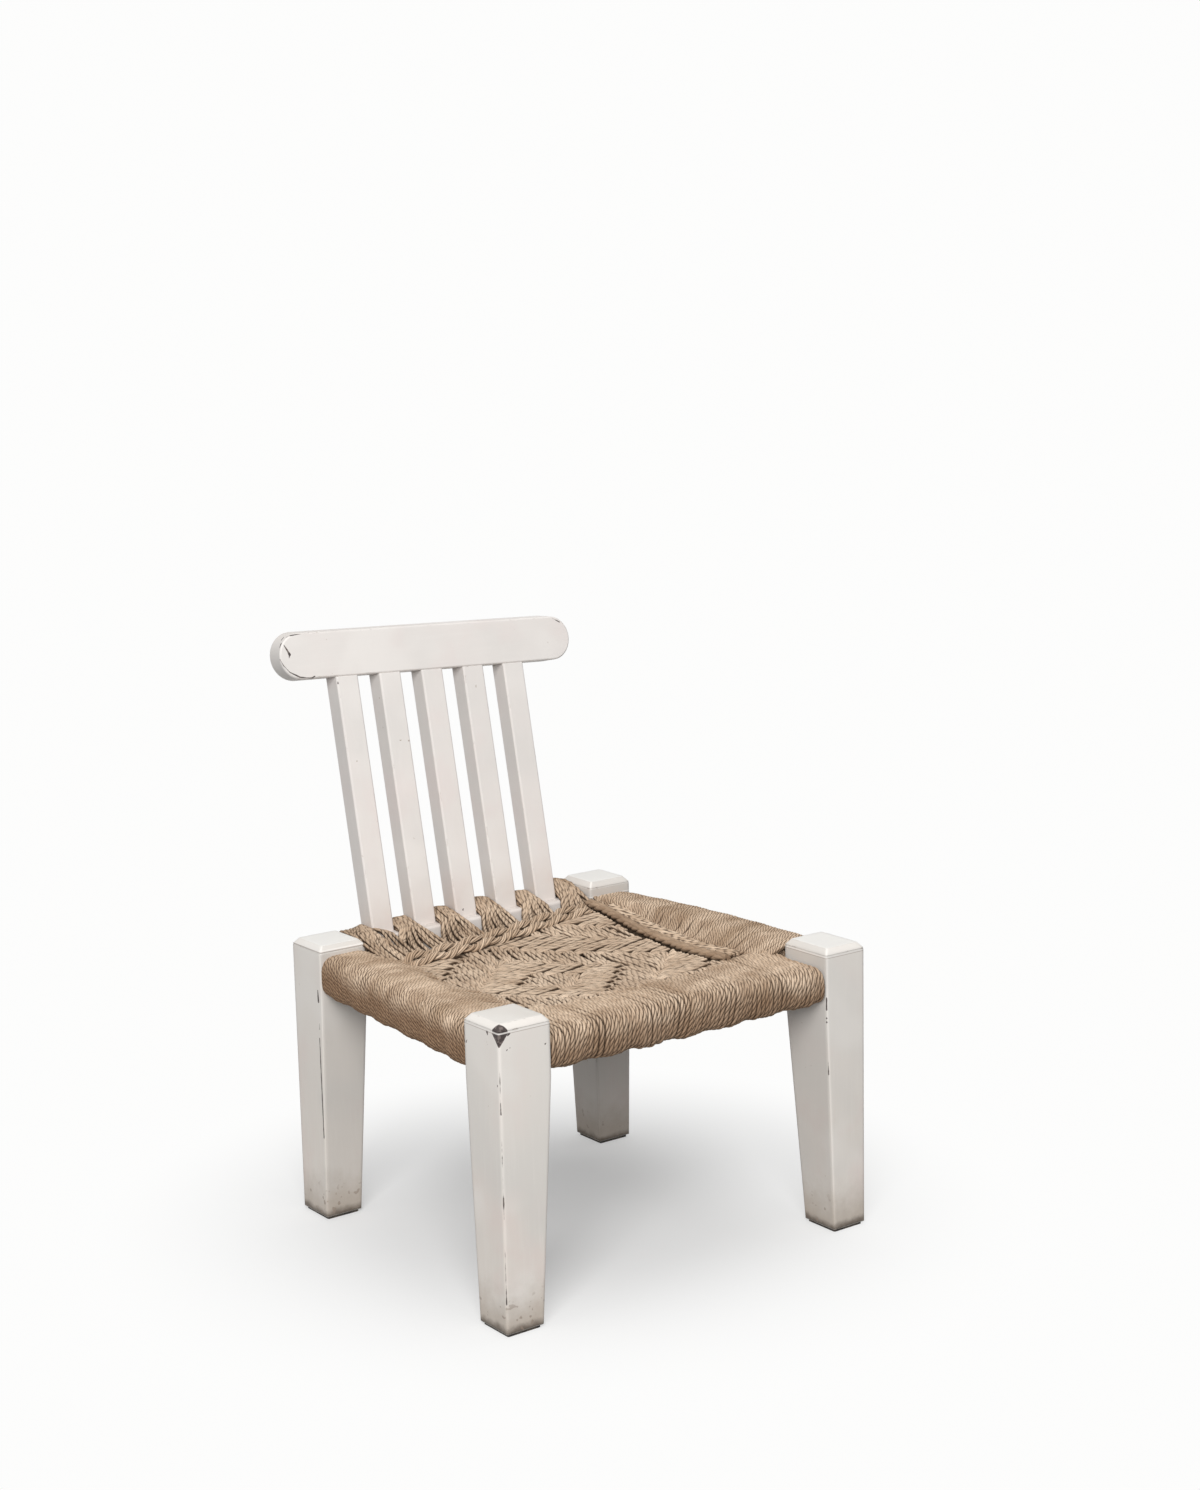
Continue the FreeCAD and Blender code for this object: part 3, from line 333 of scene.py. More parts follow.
# Outer arrises, named as the photograph shows them, and the level of the caps' bead
FRONT_LEFT, FRONT_RIGHT, REAR_LEFT = (-271, -251), (209.5, -250.5), (-243, 192)
BEAD_LEVEL = 353.6
post_flakes = [
    # The big chip under the front left cap, with smaller ones beside it
    ((*FRONT_LEFT, 337.5), (*FRONT_LEFT, 352.5), 0.4, 13.0),
    ((-270, -250, 355), (-268, -248, 359), 8.5, 5.5),
    ((-271, -229.5, 349), (-271, -229, 351.5), 0.5, 1.6),
    ((-259, -251, 350), (-256.5, -251, 352), 0.6, 1.4),
    ((-209, -251, 330.5), (-208, -251, 331), 0.9, 0.6),
    ((-260.5, -251, 333.5), (-259.5, -251, 334.5), 0.8, 0.5),
    ((-256.3, -251, 335.5), (-256, -251, 336), 0.6, 0.4),
    ((-271, -188, 333), (-271, -186, 330), 0.4, 0.7),
    ((-271, -246.3, 293.5), (-271, -246.3, 294.5), 1.0, 0.8),
    # The front right, rear right and rear left posts' inner arrises
    ((212, -250.5, 206), (211.5, -250.5, 224), 1.0, 0.7),
    ((214, -250.5, 150), (213.5, -250.5, 163), 0.8, 0.5),
    ((179.1, 186.5, 250), (185.8, 191.4, 120), 1.35, 1.15),
    ((*REAR_LEFT, 240), (*REAR_LEFT, 110), 1.08, 1.08),
    ((-243, 191.0, 288), (-243, 191.6, 302), 1.8, 1.0),
    ((-243, 191, 252), (-243, 191, 260), 0.7, 0.4)]
# Rubbed stretches of two arrises: from, to, and half width at the foot
for corner, foot, head, half in (
        (FRONT_LEFT, 278, 284, 0.7), (FRONT_LEFT, 262, 330, 1.12), (FRONT_LEFT, 140, 250, 1.10),
        (FRONT_LEFT, 40, 130, 1.05), (FRONT_LEFT, 206, 226, 0.8), (FRONT_LEFT, 158, 176, 1.0),
        (FRONT_LEFT, 118, 128, 0.7), (FRONT_LEFT, 78, 90, 0.8), (FRONT_RIGHT, 288.2, 303.2, 1.3),
        (FRONT_RIGHT, 277.6, 278.6, 1.1), (FRONT_RIGHT, 272.4, 273.2, 1.1)):
    post_flakes.append(((*corner, foot), (*corner, head), half, half * 0.6))
post_tones = ((0.800, 0.750, 0.698), (0.800, 0.718, 0.672), (0.690, 0.675, 0.645),
              (0.880, 0.848, 0.808))
post_paint = painted_wood("post_paint", 2, post_tones, post_flakes, (BEAD_LEVEL,), inner_shade=0.36,
                          rounding=0.006, shaded_cap_near=(-236, -216, 358))
ENDS = [f"{end}_{side}" for end in ("front", "rear") for side in ("left", "right")]
for end in ENDS:
    repaint(f"leg_{end}", post_paint)

# ---------------------------------------------------------------------------
# Slats and rear rail: five sawn slats in the same paint, pinker than the posts'.
# They are let into the rear rail, which shows white between the sheaves of cord.
board_tones = ((0.790, 0.742, 0.718), (0.790, 0.682, 0.665), (0.650, 0.640, 0.620),
               (0.880, 0.850, 0.825))
slat_flakes = (((-5.5, 219, 361), (-4.5, 219.3, 362.5), 1.2, 0.5),
               ((-142.7, 282.1, 669), (-142.7, 282.3, 671), 0.9, 0.6))
slat_paint = painted_wood("slat_paint", 2, board_tones, slat_flakes, side_shade_and_dust=0.22, stain=0.35)
for index in range(5):
    repaint(f"back_slat_{index + 1}", slat_paint)
repaint("rear_rail", slat_paint)

# ---------------------------------------------------------------------------
# Crest board: one plank with round ends on the slats' tenons, in the same paint. It
# has cracked and chipped round its left end, and a little at the top right.
crest_flakes = (
    ((-205.8, 298.5, 732.7), (-199.9, 296.0, 734.9), 0.5, 1.0),
    ((-199.9, 296.0, 734.9), (-191.7, 295.2, 735.7), 1.0, 0.9),
    ((-191.7, 295.2, 735.7), (-184.5, 295.2, 735.5), 0.9, 0.3),
    ((-181, 295.6, 736.3), (-174, 296, 735.9), 0.5, 0.4),
    ((-209.8, 303, 729.5), (-205.5, 305, 732.7), 1.1, 0.7),
    ((-217.1, 296.1, 720.8), (-214.2, 297, 725.4), 0.5, 1.2),
    ((-212.6, 293, 724.4), (-209, 291.6, 717.8), 0.3, 1.2),
    ((-209, 291.6, 717.8), (-206.2, 290.3, 711.8), 1.2, 2.0),
    ((-206.2, 290.3, 711.8), (-207.7, 289.6, 707.2), 1.6, 0.3),
    ((-220, 291, 707), (-216.9, 287.9, 699), 0.4, 0.5),
    ((-216.9, 287.9, 699), (-209.4, 286, 690), 0.5, 0.6),
    ((-209.4, 286, 690), (-196, 284.5, 682.5), 0.6, 0.7),
    ((-196, 284.5, 682.5), (-178.8, 284.7, 679.7), 0.7, 0.7),
    ((-179, 284.7, 679.9), (-174.5, 284, 681.6), 1.1, 0.7),
    ((150, 294.7, 727.5), (166, 294.6, 727), 0.6, 0.3),
    ((202, 292, 719.5), (213, 291, 713.5), 0.3, 0.5))
repaint("crest_rail", painted_wood("crest_paint", 0, board_tones, crest_flakes, side_shade_and_dust=0.22))


# ---------------------------------------------------------------------------
# Front and side rails inside the windings: their colour is painted shade, a very dark
# brown that shows between the turns. The glides are thin pads of dark rubber, dirty from
# the floor, pinned under the posts.
def speckled(name, scale, low, high, dark, light, roughness):
    """A plain material whose colour wanders between two tones."""
    material, shader, flow = new_material(name)
    spot = flow.node("ShaderNodeTexCoord", output=3)
    drive(shader, "Base Color", flow.noise(spot, scale, 3.0).smooth(low, high).mix(dark, light))
    shader.inputs["Roughness"].default_value = roughness
    return material


# Painted shade: the rails' near-black brown, seen between the turns
rail_shade = speckled("rail_shade", 60.0, 0.35, 0.65, (0.10, 0.062, 0.036), (0.17, 0.11, 0.065), 0.8)
for rail in ("front_rail", "left_rail", "right_rail"):
    repaint(rail, rail_shade)
glide = speckled("glide_rubber", 90.0, 0.4, 0.7, (0.035, 0.03, 0.027), (0.11, 0.09, 0.07), 0.85)
for end in ENDS:
    repaint(f"foot_pad_{end}", glide)

# ---------------------------------------------------------------------------
# Front winding: cord of dry light brown fibre, 6.4 mm from turn to turn, wound round
# the rail. Each turn runs on over the top and in to the weave. A node tree sweeps a
# waisted section along the cord's path and turns it as it goes.
cord_tree = bpy.data.node_groups.new("laid_cord", "GeometryNodeTree")
SOCKETS = {}
for label, kind in (("Geometry", "Geometry"), ("Radius", "Float"), ("Lay", "Float"), ("Waist", "Float"),
                    ("Sides", "Int"), ("Plies", "Float"), ("Fibre", "Material")):
    SOCKETS[label] = cord_tree.interface.new_socket(
        label, in_out="INPUT", socket_type=f"NodeSocket{kind}").identifier
cord_tree.interface.new_socket("Geometry", in_out="OUTPUT", socket_type="NodeSocketGeometry")
flow = Flow(cord_tree)
given = cord_tree.nodes.new("NodeGroupInput")
geometry, radius, lay, waist, sides, plies, fibre = (
    Flow(cord_tree, given.outputs[i]) for i in range(len(SOCKETS)))


def attribute(label, kind="FLOAT"):
    return flow.node("GeometryNodeInputNamedAttribute", {"data_type": kind}, Name=label)


def store(target, label, value, kind="FLOAT"):
    return flow.node("GeometryNodeStoreNamedAttribute", {"data_type": kind, "domain": "POINT"},
                     Geometry=target, Name=label, Value=value)


curve = flow.node("GeometryNodeMeshToCurve", Mesh=geometry)
run = flow.node("GeometryNodeSplineParameter", output=1)
turn = run.maths("DIVIDE", lay) * (2 * math.pi) * attribute("hand") + attribute("phase")
curve = flow.node("GeometryNodeSetCurveTilt", Curve=curve, Tilt=turn)
spot = flow.node("GeometryNodeInputPosition")
curve = store(store(curve, "along", run), "core", spot, "FLOAT_VECTOR")
ring = flow.node("GeometryNodeCurvePrimitiveCircle", Resolution=sides, Radius=1.0)
angle = spot.axis(1).maths("ARCTAN2", spot.axis(0))
swell = (angle * plies).maths("COSINE") * -1.0
ring = store(store(ring, "groove", swell), "around", angle)
fatness = radius * (waist * (swell - 1.0) + 1.0)
ring = flow.node("GeometryNodeSetPosition", Geometry=ring, Position=fatness.scaled(spot))
swept = flow.node("GeometryNodeCurveToMesh", Curve=curve, Profile_Curve=ring, Fill_Caps=True)
off = spot.vector("SUBTRACT", attribute("core", "FLOAT_VECTOR")).vector("NORMALIZE")
swept = store(swept, "rise", off.vector("DOT_PRODUCT", attribute("outward", "FLOAT_VECTOR"), output=1))
swept = flow.node("GeometryNodeSetShadeSmooth", Geometry=swept)
swept = flow.node("GeometryNodeRealizeInstances", Geometry=swept)
swept = flow.node("GeometryNodeSetMaterial", Geometry=swept, Material=fibre)
drive(cord_tree.nodes.new("NodeGroupOutput"), "Geometry", swept)


def cord_of(fibre, radius, lay, waist, sides, plies=2.0):
    """The tree's inputs for one kind of cord, with its sizes in millimetres."""
    return {"Radius": radius * MM, "Lay": lay * MM, "Waist": waist, "Sides": sides,
            "Plies": plies, "Fibre": fibre}


def lay_cords(name, paths, cord, replaced, tones=None, hand=1.0, phases=None,
              outward=(-0.2, -0.5, 0.84), calm=None):
    """Sweeps cords along point lists, in millimetres from the middle of the posts.

    outward is the way the cords' lit side faces, the others taking painted shade from
    the fibre: one for all, or one for each point of each path. calm fades the plies of
    a path, point by point.
    """
    points, edges, facing = [], [], []
    values = {"tone": [], "hand": [], "phase": [], "calm": []}
    picker = random.Random(len(name) * 31 + len(paths))
    for index, path in enumerate(paths):
        first, count = len(points), len(path)
        points += [place(*p) for p in path]
        edges += [(first + i, first + i + 1) for i in range(count - 1)]
        values["tone"] += [tones[index] if tones is not None else picker.random()] * count
        values["hand"] += [hand] * count
        phase = phases[index] if phases is not None else picker.uniform(0, 6.28)
        values["phase"] += [phase + 0.35 * math.sin(0.4 * i + 2.1 * index) for i in range(count)]
        values["calm"] += list(calm[index]) if calm is not None else [0.0] * count
        facing += [outward] * count if isinstance(outward, tuple) else list(outward[index])
    mesh = bpy.data.meshes.new(name + "_paths")
    mesh.from_pydata(points, edges, [])
    for label, column in values.items():
        mesh.attributes.new(label, "FLOAT", "POINT").data.foreach_set("value", column)
    mesh.attributes.new("outward", "FLOAT_VECTOR", "POINT").data.foreach_set(
        "vector", [float(c) for v in facing for c in v])
    source = bpy.data.objects.new(name + "_paths", mesh)
    SCENE.collection.objects.link(source)
    modifier = source.modifiers.new("laid", "NODES")
    modifier.node_group = cord_tree
    for label, value in cord.items():
        modifier[SOCKETS[label]] = value
    graph = bpy.context.evaluated_depsgraph_get()
    made = bpy.data.meshes.new_from_object(source.evaluated_get(graph))
    made.name = name
    source.modifiers.remove(modifier)
    bpy.data.objects.remove(source)
    piece = bpy.data.objects.new(name, made)
    SCENE.collection.objects.link(piece)
    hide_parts(replaced)
    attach(piece, "root")


def cord_fibre(name, tones, ply=0.8, fine=0.35, flank_shade=(0.6, -0.1, 0.5), broad=1.45,
               shade_below=None, mottle=0.0):
    """Dry twisted fibre: fine streaks along the plies, dark in the grooves.

    tones are light, middle and dark, the dark one being the colour of painted shade.
    ply and fine are how dark the painted shade in the grooves and the hair lines on
    each ply are, and a smaller broad makes the grooves wider. flank_shade is how dark
    the painted shade on the hidden sides is, and between which faces that fades.
    shade_below is a level and how strong the painted shade, darker and browner, is
    under it, and mottle is how brown its patches.
    """
    light, middle, dark = tones
    material, shader, flow = new_material(name)
    spot = flow.node("ShaderNodeTexCoord", output=3)
    tone, groove, along, around, rise, calm = (
        flow.node("ShaderNodeAttribute", {"attribute_name": label}, output=2)
        for label in ("tone", "groove", "along", "around", "rise", "calm"))
    strand = flow.node("ShaderNodeCombineXYZ", X=along * 60.0, Y=around * 2.2, Z=tone * 37.0)
    streak = flow.noise(strand, 2.4, 3.0, 0.65)
    cloud = flow.noise(spot, 22.0)
    colour = (tone * 0.5 + cloud.smooth(0.32, 0.68) * 0.5).mix(middle, light)
    colour = ((1 - streak).smooth(0.42, 0.72) * 0.45).mix(colour, middle)
    colour = (streak.smooth(0.52, 0.75) * 0.5).mix(colour, light)
    if mottle:
        patch = flow.noise(spot, 34.0, 2.0).smooth(0.46, 0.64)
        colour = (patch * mottle).mix(colour, (0.330, 0.212, 0.132))
    # Painted shade: the cord darker and browner below a level, under the winding's curve
    if shade_below:
        level, strength = shade_below
        ragged = flow.noise(spot, 30.0)
        below = 1 - (spot.axis(2) + (ragged - 0.5) * 0.03).smooth(level - 0.016, level + 0.014)
        shade_brown = streak.smooth(0.40, 0.68).mix((0.220, 0.128, 0.072), (0.390, 0.245, 0.150))
        colour = (below * strength).mix(colour, shade_brown)
    # Painted shade, dark brown, in the grooves between the plies
    plain = 1 - calm * 0.5
    lively = flow.noise(spot, 70.0, 1.0).smooth(0.25, 0.6) * 0.35 + 0.65
    groove_shade = (1 - groove).smooth(broad, 1.96) * lively
    colour = (groove_shade * plain * ply).mix(colour, dark)
    colour = (groove.smooth(0.80, 1.0) * plain * fine).mix(colour, middle)
    # Painted shade on the cord's hidden sides, those facing away from outward
    darkness, hidden, open_side = flank_shade
    colour = ((1 - rise.smooth(hidden, open_side)) * darkness).mix(colour, dark)
    drive(shader, "Base Color", colour)
    shader.inputs["Roughness"].default_value = 0.82
    shader.inputs["Specular IOR Level"].default_value = 0.25
    relief = streak - groove_shade * 0.8
    drive(shader, "Normal", flow.node("ShaderNodeBump", Strength=0.5, Distance=0.0008, Height=relief))
    return material


def clamped(value):
    return min(1.0, max(0.0, value))


def ease(low, high, value):
    """0 at low, 1 at high, soft between; low may be the larger."""
    t = clamped((value - low) / (high - low))
    return t * t * (3 - 2 * t)


def evenly(points, step):
    """Points a step apart on the run of straight lines through the ones given."""
    points = np.array(points, float)
    lengths = np.r_[0, np.cumsum(np.linalg.norm(np.diff(points, axis=0), axis=1))]
    count = max(3, int(round(lengths[-1] / step)) + 1)
    marks = np.linspace(0, lengths[-1], count)
    return np.column_stack([np.interp(marks, lengths, points[:, i]) for i in range(points.shape[1])])


def filleted(corners, radii, step):
    """Even points on a run of straight lines with rounded corners."""
    dense = [np.array(corners[0], float)]
    for before, corner, after, radius in zip(corners, corners[1:], corners[2:], radii):
        before, corner, after = (np.array(p, float) for p in (before, corner, after))
        inward, outward = before - corner, after - corner
        inward_length, outward_length = np.linalg.norm(inward), np.linalg.norm(outward)
        inward, outward = inward / inward_length, outward / outward_length
        half = math.acos(np.clip(inward @ outward, -1, 1)) / 2
        trim = min(radius / math.tan(half), 0.49 * inward_length, 0.49 * outward_length)
        start, end = corner + inward * trim, corner + outward * trim
        for i in range(9):
            t = i / 8
            dense.append((1 - t) ** 2 * start + 2 * t * (1 - t) * corner + t ** 2 * end)
    dense.append(np.array(corners[-1], float))
    return evenly(dense, step)


def outward_normals(section):
    """Unit vectors at right angles to a section's run, on its left-hand side."""
    run = np.gradient(section, axis=0)
    normal = np.column_stack([-run[:, 1], run[:, 0]])
    return normal / np.linalg.norm(normal, axis=1)[:, None]


PANEL_LEFT, PANEL_WIDTH, PANEL_FRONT, PANEL_RUN = -197, 394, -192, 320
PANEL_LEVEL, PANEL_RISE, PANEL_SAG = 338, 5, 9


def panel_edge(x):
    """Level of the weave if it didn't sag."""
    return PANEL_LEVEL + PANEL_RISE * (x - PANEL_LEFT) / PANEL_WIDTH


def panel_top(x, y):
    """Level of the weave, which sags between its edges."""
    across, along = (x - PANEL_LEFT) / PANEL_WIDTH, (y - PANEL_FRONT) / PANEL_RUN
    if not (0 < across < 1 and 0 < along < 1):
        return panel_edge(x)
    return panel_edge(x) - PANEL_SAG * math.sin(math.pi * along) * 4 * across * (1 - across)


def lobe(share, count, height):
    """How far the winding swells where its turns ride up on one another."""
    return height * (1 - math.cos(2 * math.pi * count * share)) / 2


def turn_section(inner, outer, low, high, over, reach, run_in, tail):
    """One turn of cord: down inside the rail, under it, up outside, over and in."""
    return filleted([(inner, high - 8), (inner, low), (outer, low), (outer, high),
                     (inner + over, high + 0.5), (reach + run_in, tail + 1.6), (reach, tail - 5)],
                    (10, 15, 18, 30, 12), 2.3)


def upright_near_posts(share):
    """Turns lean except where they lie against a post."""
    return ease(0.0, 0.12, share) * ease(1.0, 0.88, share)


HALF_CORD = 3.4
FRONT_TURNS = 65
ROLL_LEFT, ROLL_RIGHT = -200.6, 208.6
ROLL_FRONT, ROLL_BACK, ROLL_LOW, ROLL_HIGH = -250.5, -197.7, 295.6, 340.4
STRAW = ((0.850, 0.676, 0.513), (0.475, 0.339, 0.231), (0.066, 0.038, 0.022))
seat_fibre = cord_fibre("seat_fibre", STRAW, ply=0.97, fine=0.4, flank_shade=(0.64, 0.24, 0.66),
                        broad=0.70, shade_below=(0.326, 0.78), mottle=0.35)
front_cord = cord_of(seat_fibre, 3.7, 36, 0.13, 12, 4.0)
pick = random.Random(11)
paths, tones, phases, facings, calms = [], [], [], [], []
for turn in range(FRONT_TURNS):
    share = (turn + 0.5) / FRONT_TURNS
    x = ROLL_LEFT + share * (ROLL_RIGHT - ROLL_LEFT)
    x += 1.6 * math.sin(share * 31) + math.sin(share * 67 + 1)
    swell = lobe(share, 7, 2.2) + pick.uniform(-0.5, 0.6)
    crown = 4 * math.sin(math.pi * share)
    front, inner = ROLL_FRONT + HALF_CORD - swell - 2.5 * ease(0.9, 1.0, share), ROLL_BACK - HALF_CORD
    low = ROLL_LOW + HALF_CORD - swell - crown * 0.3
    high = ROLL_HIGH - HALF_CORD + crown + swell * 0.6
    reach = -143 + 6 * math.sin(share * 17.0) + pick.uniform(-9, 9)
    section = turn_section(inner, front, low, high, 8, reach, -16, panel_top(x, reach))
    lean = 7 + 4.5 * math.sin(share * 12.0 + 1.2) + 2 * math.sin(share * 31.0)
    lean *= upright_near_posts(share)
    drift = pick.uniform(-0.5, 0.5)
    sway = 6 * math.sin(share * 9 + 2)
    paths.append([(x + drift + lean * ((z - low) / (high - low) - 0.5)
                   + max(0.0, (y - inner) / 40.0) * sway, y, z) for y, z in section])
    facings.append([(0.0, n[0], n[1]) for n in outward_normals(section)])
    calms.append([ease(-246, -214, y) * (1.0 if z > 320 else 0.0) for y, z in section])
    tones.append(clamped(0.5 + 0.35 * math.sin(share * 23) + pick.uniform(-0.35, 0.35)))
    phases.append(1.3 * math.sin(share * 13) + pick.uniform(-0.8, 0.8))
lay_cords("front_winding_cord", paths, front_cord, "front_winding", tones, phases=phases,
          outward=facings, calm=calms)

# ---------------------------------------------------------------------------
# Side windings: the same cord round the two side rails, whose centre lines run
# closer together towards the back. Their plies slant the other way, and the
# right-hand winding is the neater of the two.
SIDE_TURNS = 57
HALF_ROLL = 26.4
SIDE_STRAW = ((0.835, 0.660, 0.500), (0.450, 0.320, 0.215), (0.066, 0.038, 0.022))
side_fibre = cord_fibre("side_fibre", SIDE_STRAW, ply=1.0, fine=0.4, flank_shade=(0.72, 0.20, 0.66),
                        broad=0.60, shade_below=(0.336, 0.92), mottle=0.40)
side_winding_cord = cord_of(side_fibre, 3.7, 26, 0.12, 15, 5.0)


def side_centre(y):
    """Distance of a side rail's centre line from the chair's middle."""
    return 230.1 - y * (244.1 - 216.1) / 370


for name, sign, start, end, middle, bulge, ragged, lift_low, lift_high, tail_x, wander, calmness in (
        ("left_winding", -1, -181.8, 181.8, 320, 2.2, 1.0, 1.5, 0.0, 158, 1.0, 1.0),
        ("right_winding", 1, -173.8, 184.8, 327, 0.8, 0.3, 0.0, 2.0, 174, 0.35, 0.3)):
    pick = random.Random(20 + sign)
    paths, tones, phases, facings, calms = [], [], [], [], []
    for turn in range(SIDE_TURNS):
        share = (turn + 0.5) / SIDE_TURNS
        y = start + share * (end - start) + 1.5 * math.sin(share * 29 + sign)
        swell = lobe(share, 6, bulge) + pick.uniform(-0.4, 0.5) * ragged
        crown = 4 * math.sin(math.pi * share)
        centre = side_centre(y)
        outer, inner = centre + HALF_ROLL - HALF_CORD + swell, centre - HALF_ROLL + HALF_CORD
        low = middle - HALF_ROLL + HALF_CORD - swell * 0.4 + lift_low
        high = middle + HALF_ROLL - HALF_CORD + crown + swell * 0.6 + lift_high
        reach = tail_x + (5 * math.sin(share * 15.0) + pick.uniform(-8, 8)) * wander
        section = turn_section(inner, outer, low, high, -6, reach, 14, panel_top(sign * reach, y))
        lean = 6 + 4 * math.sin(share * 10.0 + sign) + 2.0 * math.sin(share * 27.0)
        lean *= upright_near_posts(share)
        drift = pick.uniform(-0.3, 0.3)
        paths.append([(sign * across, y + drift + lean * ((z - low) / (high - low) - 0.5), z)
                      for across, z in section])
        facings.append([(-sign * n[0], 0.0, -n[1]) for n in outward_normals(section)])
        calms.append([ease(-(centre + 22), -(centre - 12), -across) * (calmness if z > 325 else 0.0)
                      for across, z in section])
        tones.append(clamped(0.5 + 0.35 * math.sin(share * 19) + pick.uniform(-0.35, 0.35)))
        phases.append(0.7 * math.sin(share * 12) + 1.55 * turn + pick.uniform(-0.3, 0.3))
    lay_cords(name + "_cord", paths, side_winding_cord, name, tones, hand=-1.0, phases=phases,
              outward=facings, calm=calms)

# ---------------------------------------------------------------------------
# Weave: flat bundles of three soft cords cross in steps. Each passes over several of
# the other set and then under, so that the long floats form nested diamonds. It is
# strung between the windings, and ends at the back on a slanting seam.
BUNDLE = 17.0
CENTRE_X, CENTRE_Y = -62.0, -56.0
RINGS = (42, 112, 182, 262, 330)
WEAVE_START, WEAVE_END = -190.0, 190.0
SEAM_LEFT, SEAM_WIDTH, SEAM_FRONT, SEAM_RUN = -172, 322, 101, 65
ROWS = [CENTRE_Y + BUNDLE * j for j in range(-8, 15)]
COLUMNS = [CENTRE_X + BUNDLE * i for i in range(-8, 15)]
SOFT = ((0.800, 0.640, 0.490), (0.490, 0.355, 0.248), (0.070, 0.040, 0.023))
soft_fibre = cord_fibre("soft_fibre", SOFT, ply=0.55, fine=0.2, flank_shade=(0.84, 0.02, 0.62), broad=1.2)
soft_cord = cord_of(soft_fibre, 2.85, 30, 0.10, 10)


def seam(x):
    """Y of the slanting line where the sheaves meet the weave."""
    return SEAM_FRONT + (x - SEAM_LEFT) / SEAM_WIDTH * SEAM_RUN


def side_cord_x(y):
    """Where the stout side cord lies at a given y, as three straight lines."""
    return float(np.interp(y, (-150, -70, 40, 138), (137, 133, 144, 163)))


def long_set_on_top(x, y):
    """+1 where the cords running back to front are on top, -1 where they are not."""
    if y < -150:
        return 1.0
    ring = abs(x - CENTRE_X) + abs(y - CENTRE_Y)
    return 1.0 if sum(ring > bound for bound in RINGS) % 2 == 0 else -1.0


def floats(marks, on_top):
    """Stretches of a bundle between the places where it changes level."""
    stretches, start = [], WEAVE_START
    for i in range(1, len(marks)):
        if on_top[i] != on_top[i - 1]:
            change = (marks[i] + marks[i - 1]) / 2
            stretches.append((start, change, on_top[i - 1]))
            start = change
    stretches.append((start, WEAVE_END, on_top[-1]))
    return stretches


def woven(stretches, at):
    """Level and sideways drift, from -1 to 1, and fullness of a bundle at a place."""
    for start, end, side in stretches:
        if at <= end:
            break
    edge = max(0.0, min(at - start, end - at))
    level = side * math.sin(min(1.0, edge / (0.62 * BUNDLE)) * math.pi / 2)
    share = (at - start) / (end - start)
    return level, side * (2 * share - 1), math.sin(math.pi * clamped(share))


pick = random.Random(5)
for name, along_x in (("weave_cross_cord", True), ("weave_long_cord", False)):
    paths, tones, phases = [], [], []
    for line in (ROWS if along_x else COLUMNS):
        if along_x:
            stretches = floats(COLUMNS, [-long_set_on_top(x, line) for x in COLUMNS])
        else:
            stretches = floats(ROWS, [long_set_on_top(line, y) for y in ROWS])
        shade = pick.uniform(0.25, 0.85)
        wave, turn_at = pick.uniform(0, 6.28), pick.uniform(0, 6.28)
        for strand in (-1.0, 0.0, 1.0):
            points = []
            loose = pick.uniform(-0.5, 0.5)
            for at in np.arange(WEAVE_START + 4, WEAVE_END - 14, 2.6):
                level, drift, full = woven(stretches, at)
                spread = 0.50 + 0.28 * abs(level) + 0.34 * full
                slant = 8.0 if along_x else 5.5 * ease(95, 20, line)
                aside = line + strand * 5.5 * spread + loose + slant * drift
                aside += 1.6 * math.sin(at * 0.04 + wave) + 0.9 * math.sin(at * 0.12 + strand + wave)
                x, y = (at, aside) if along_x else (aside, at)
                limit = side_cord_x(y) - (8 if along_x else 10)
                if y > seam(x) - 5 or y < -172 or x < -180 or x > limit:
                    if points and len(points) < 5:
                        points = []
                    if points:
                        break
                    continue
                sink = 3.0 * ease(-166, -178, x) + 3.0 * ease(-158, -170, y)
                z = panel_top(x, y) - 1.0 + 3.0 * level - 0.6 * abs(strand) * abs(level) - sink
                points.append((x, y, z))
            if len(points) > 4:
                paths.append(points)
                tones.append(clamped(shade + pick.uniform(-0.2, 0.2)))
                phases.append(turn_at + strand)
    lay_cords(name, paths, soft_cord, "woven_seat", tones, phases=phases, outward=(0.0, 0.0, 1.0))

# ---------------------------------------------------------------------------
# Lower layer: the cords that pass straight across beneath the weave, from one side
# rail to the other. They are in shade, and show only through its gaps.
SHADE = ((0.20, 0.14, 0.09), (0.11, 0.07, 0.045), (0.03, 0.018, 0.011))
LOWER_CORDS, LOWER_PITCH = 54, 6.4
under_cord = cord_of(cord_fibre("under_fibre", SHADE, ply=0.8, fine=0.2), 3.6, 21, 0.2, 8)
paths = []
for row in range(LOWER_CORDS):
    y = -186 + row * LOWER_PITCH
    points = [(x, y, panel_top(x, y) - 10.0) for x in np.arange(-190, 191, 7.0) if y < seam(x) + 10]
    if len(points) > 3:
        paths.append(points)
lay_cords("lower_layer_cord", paths, under_cord, "woven_seat")

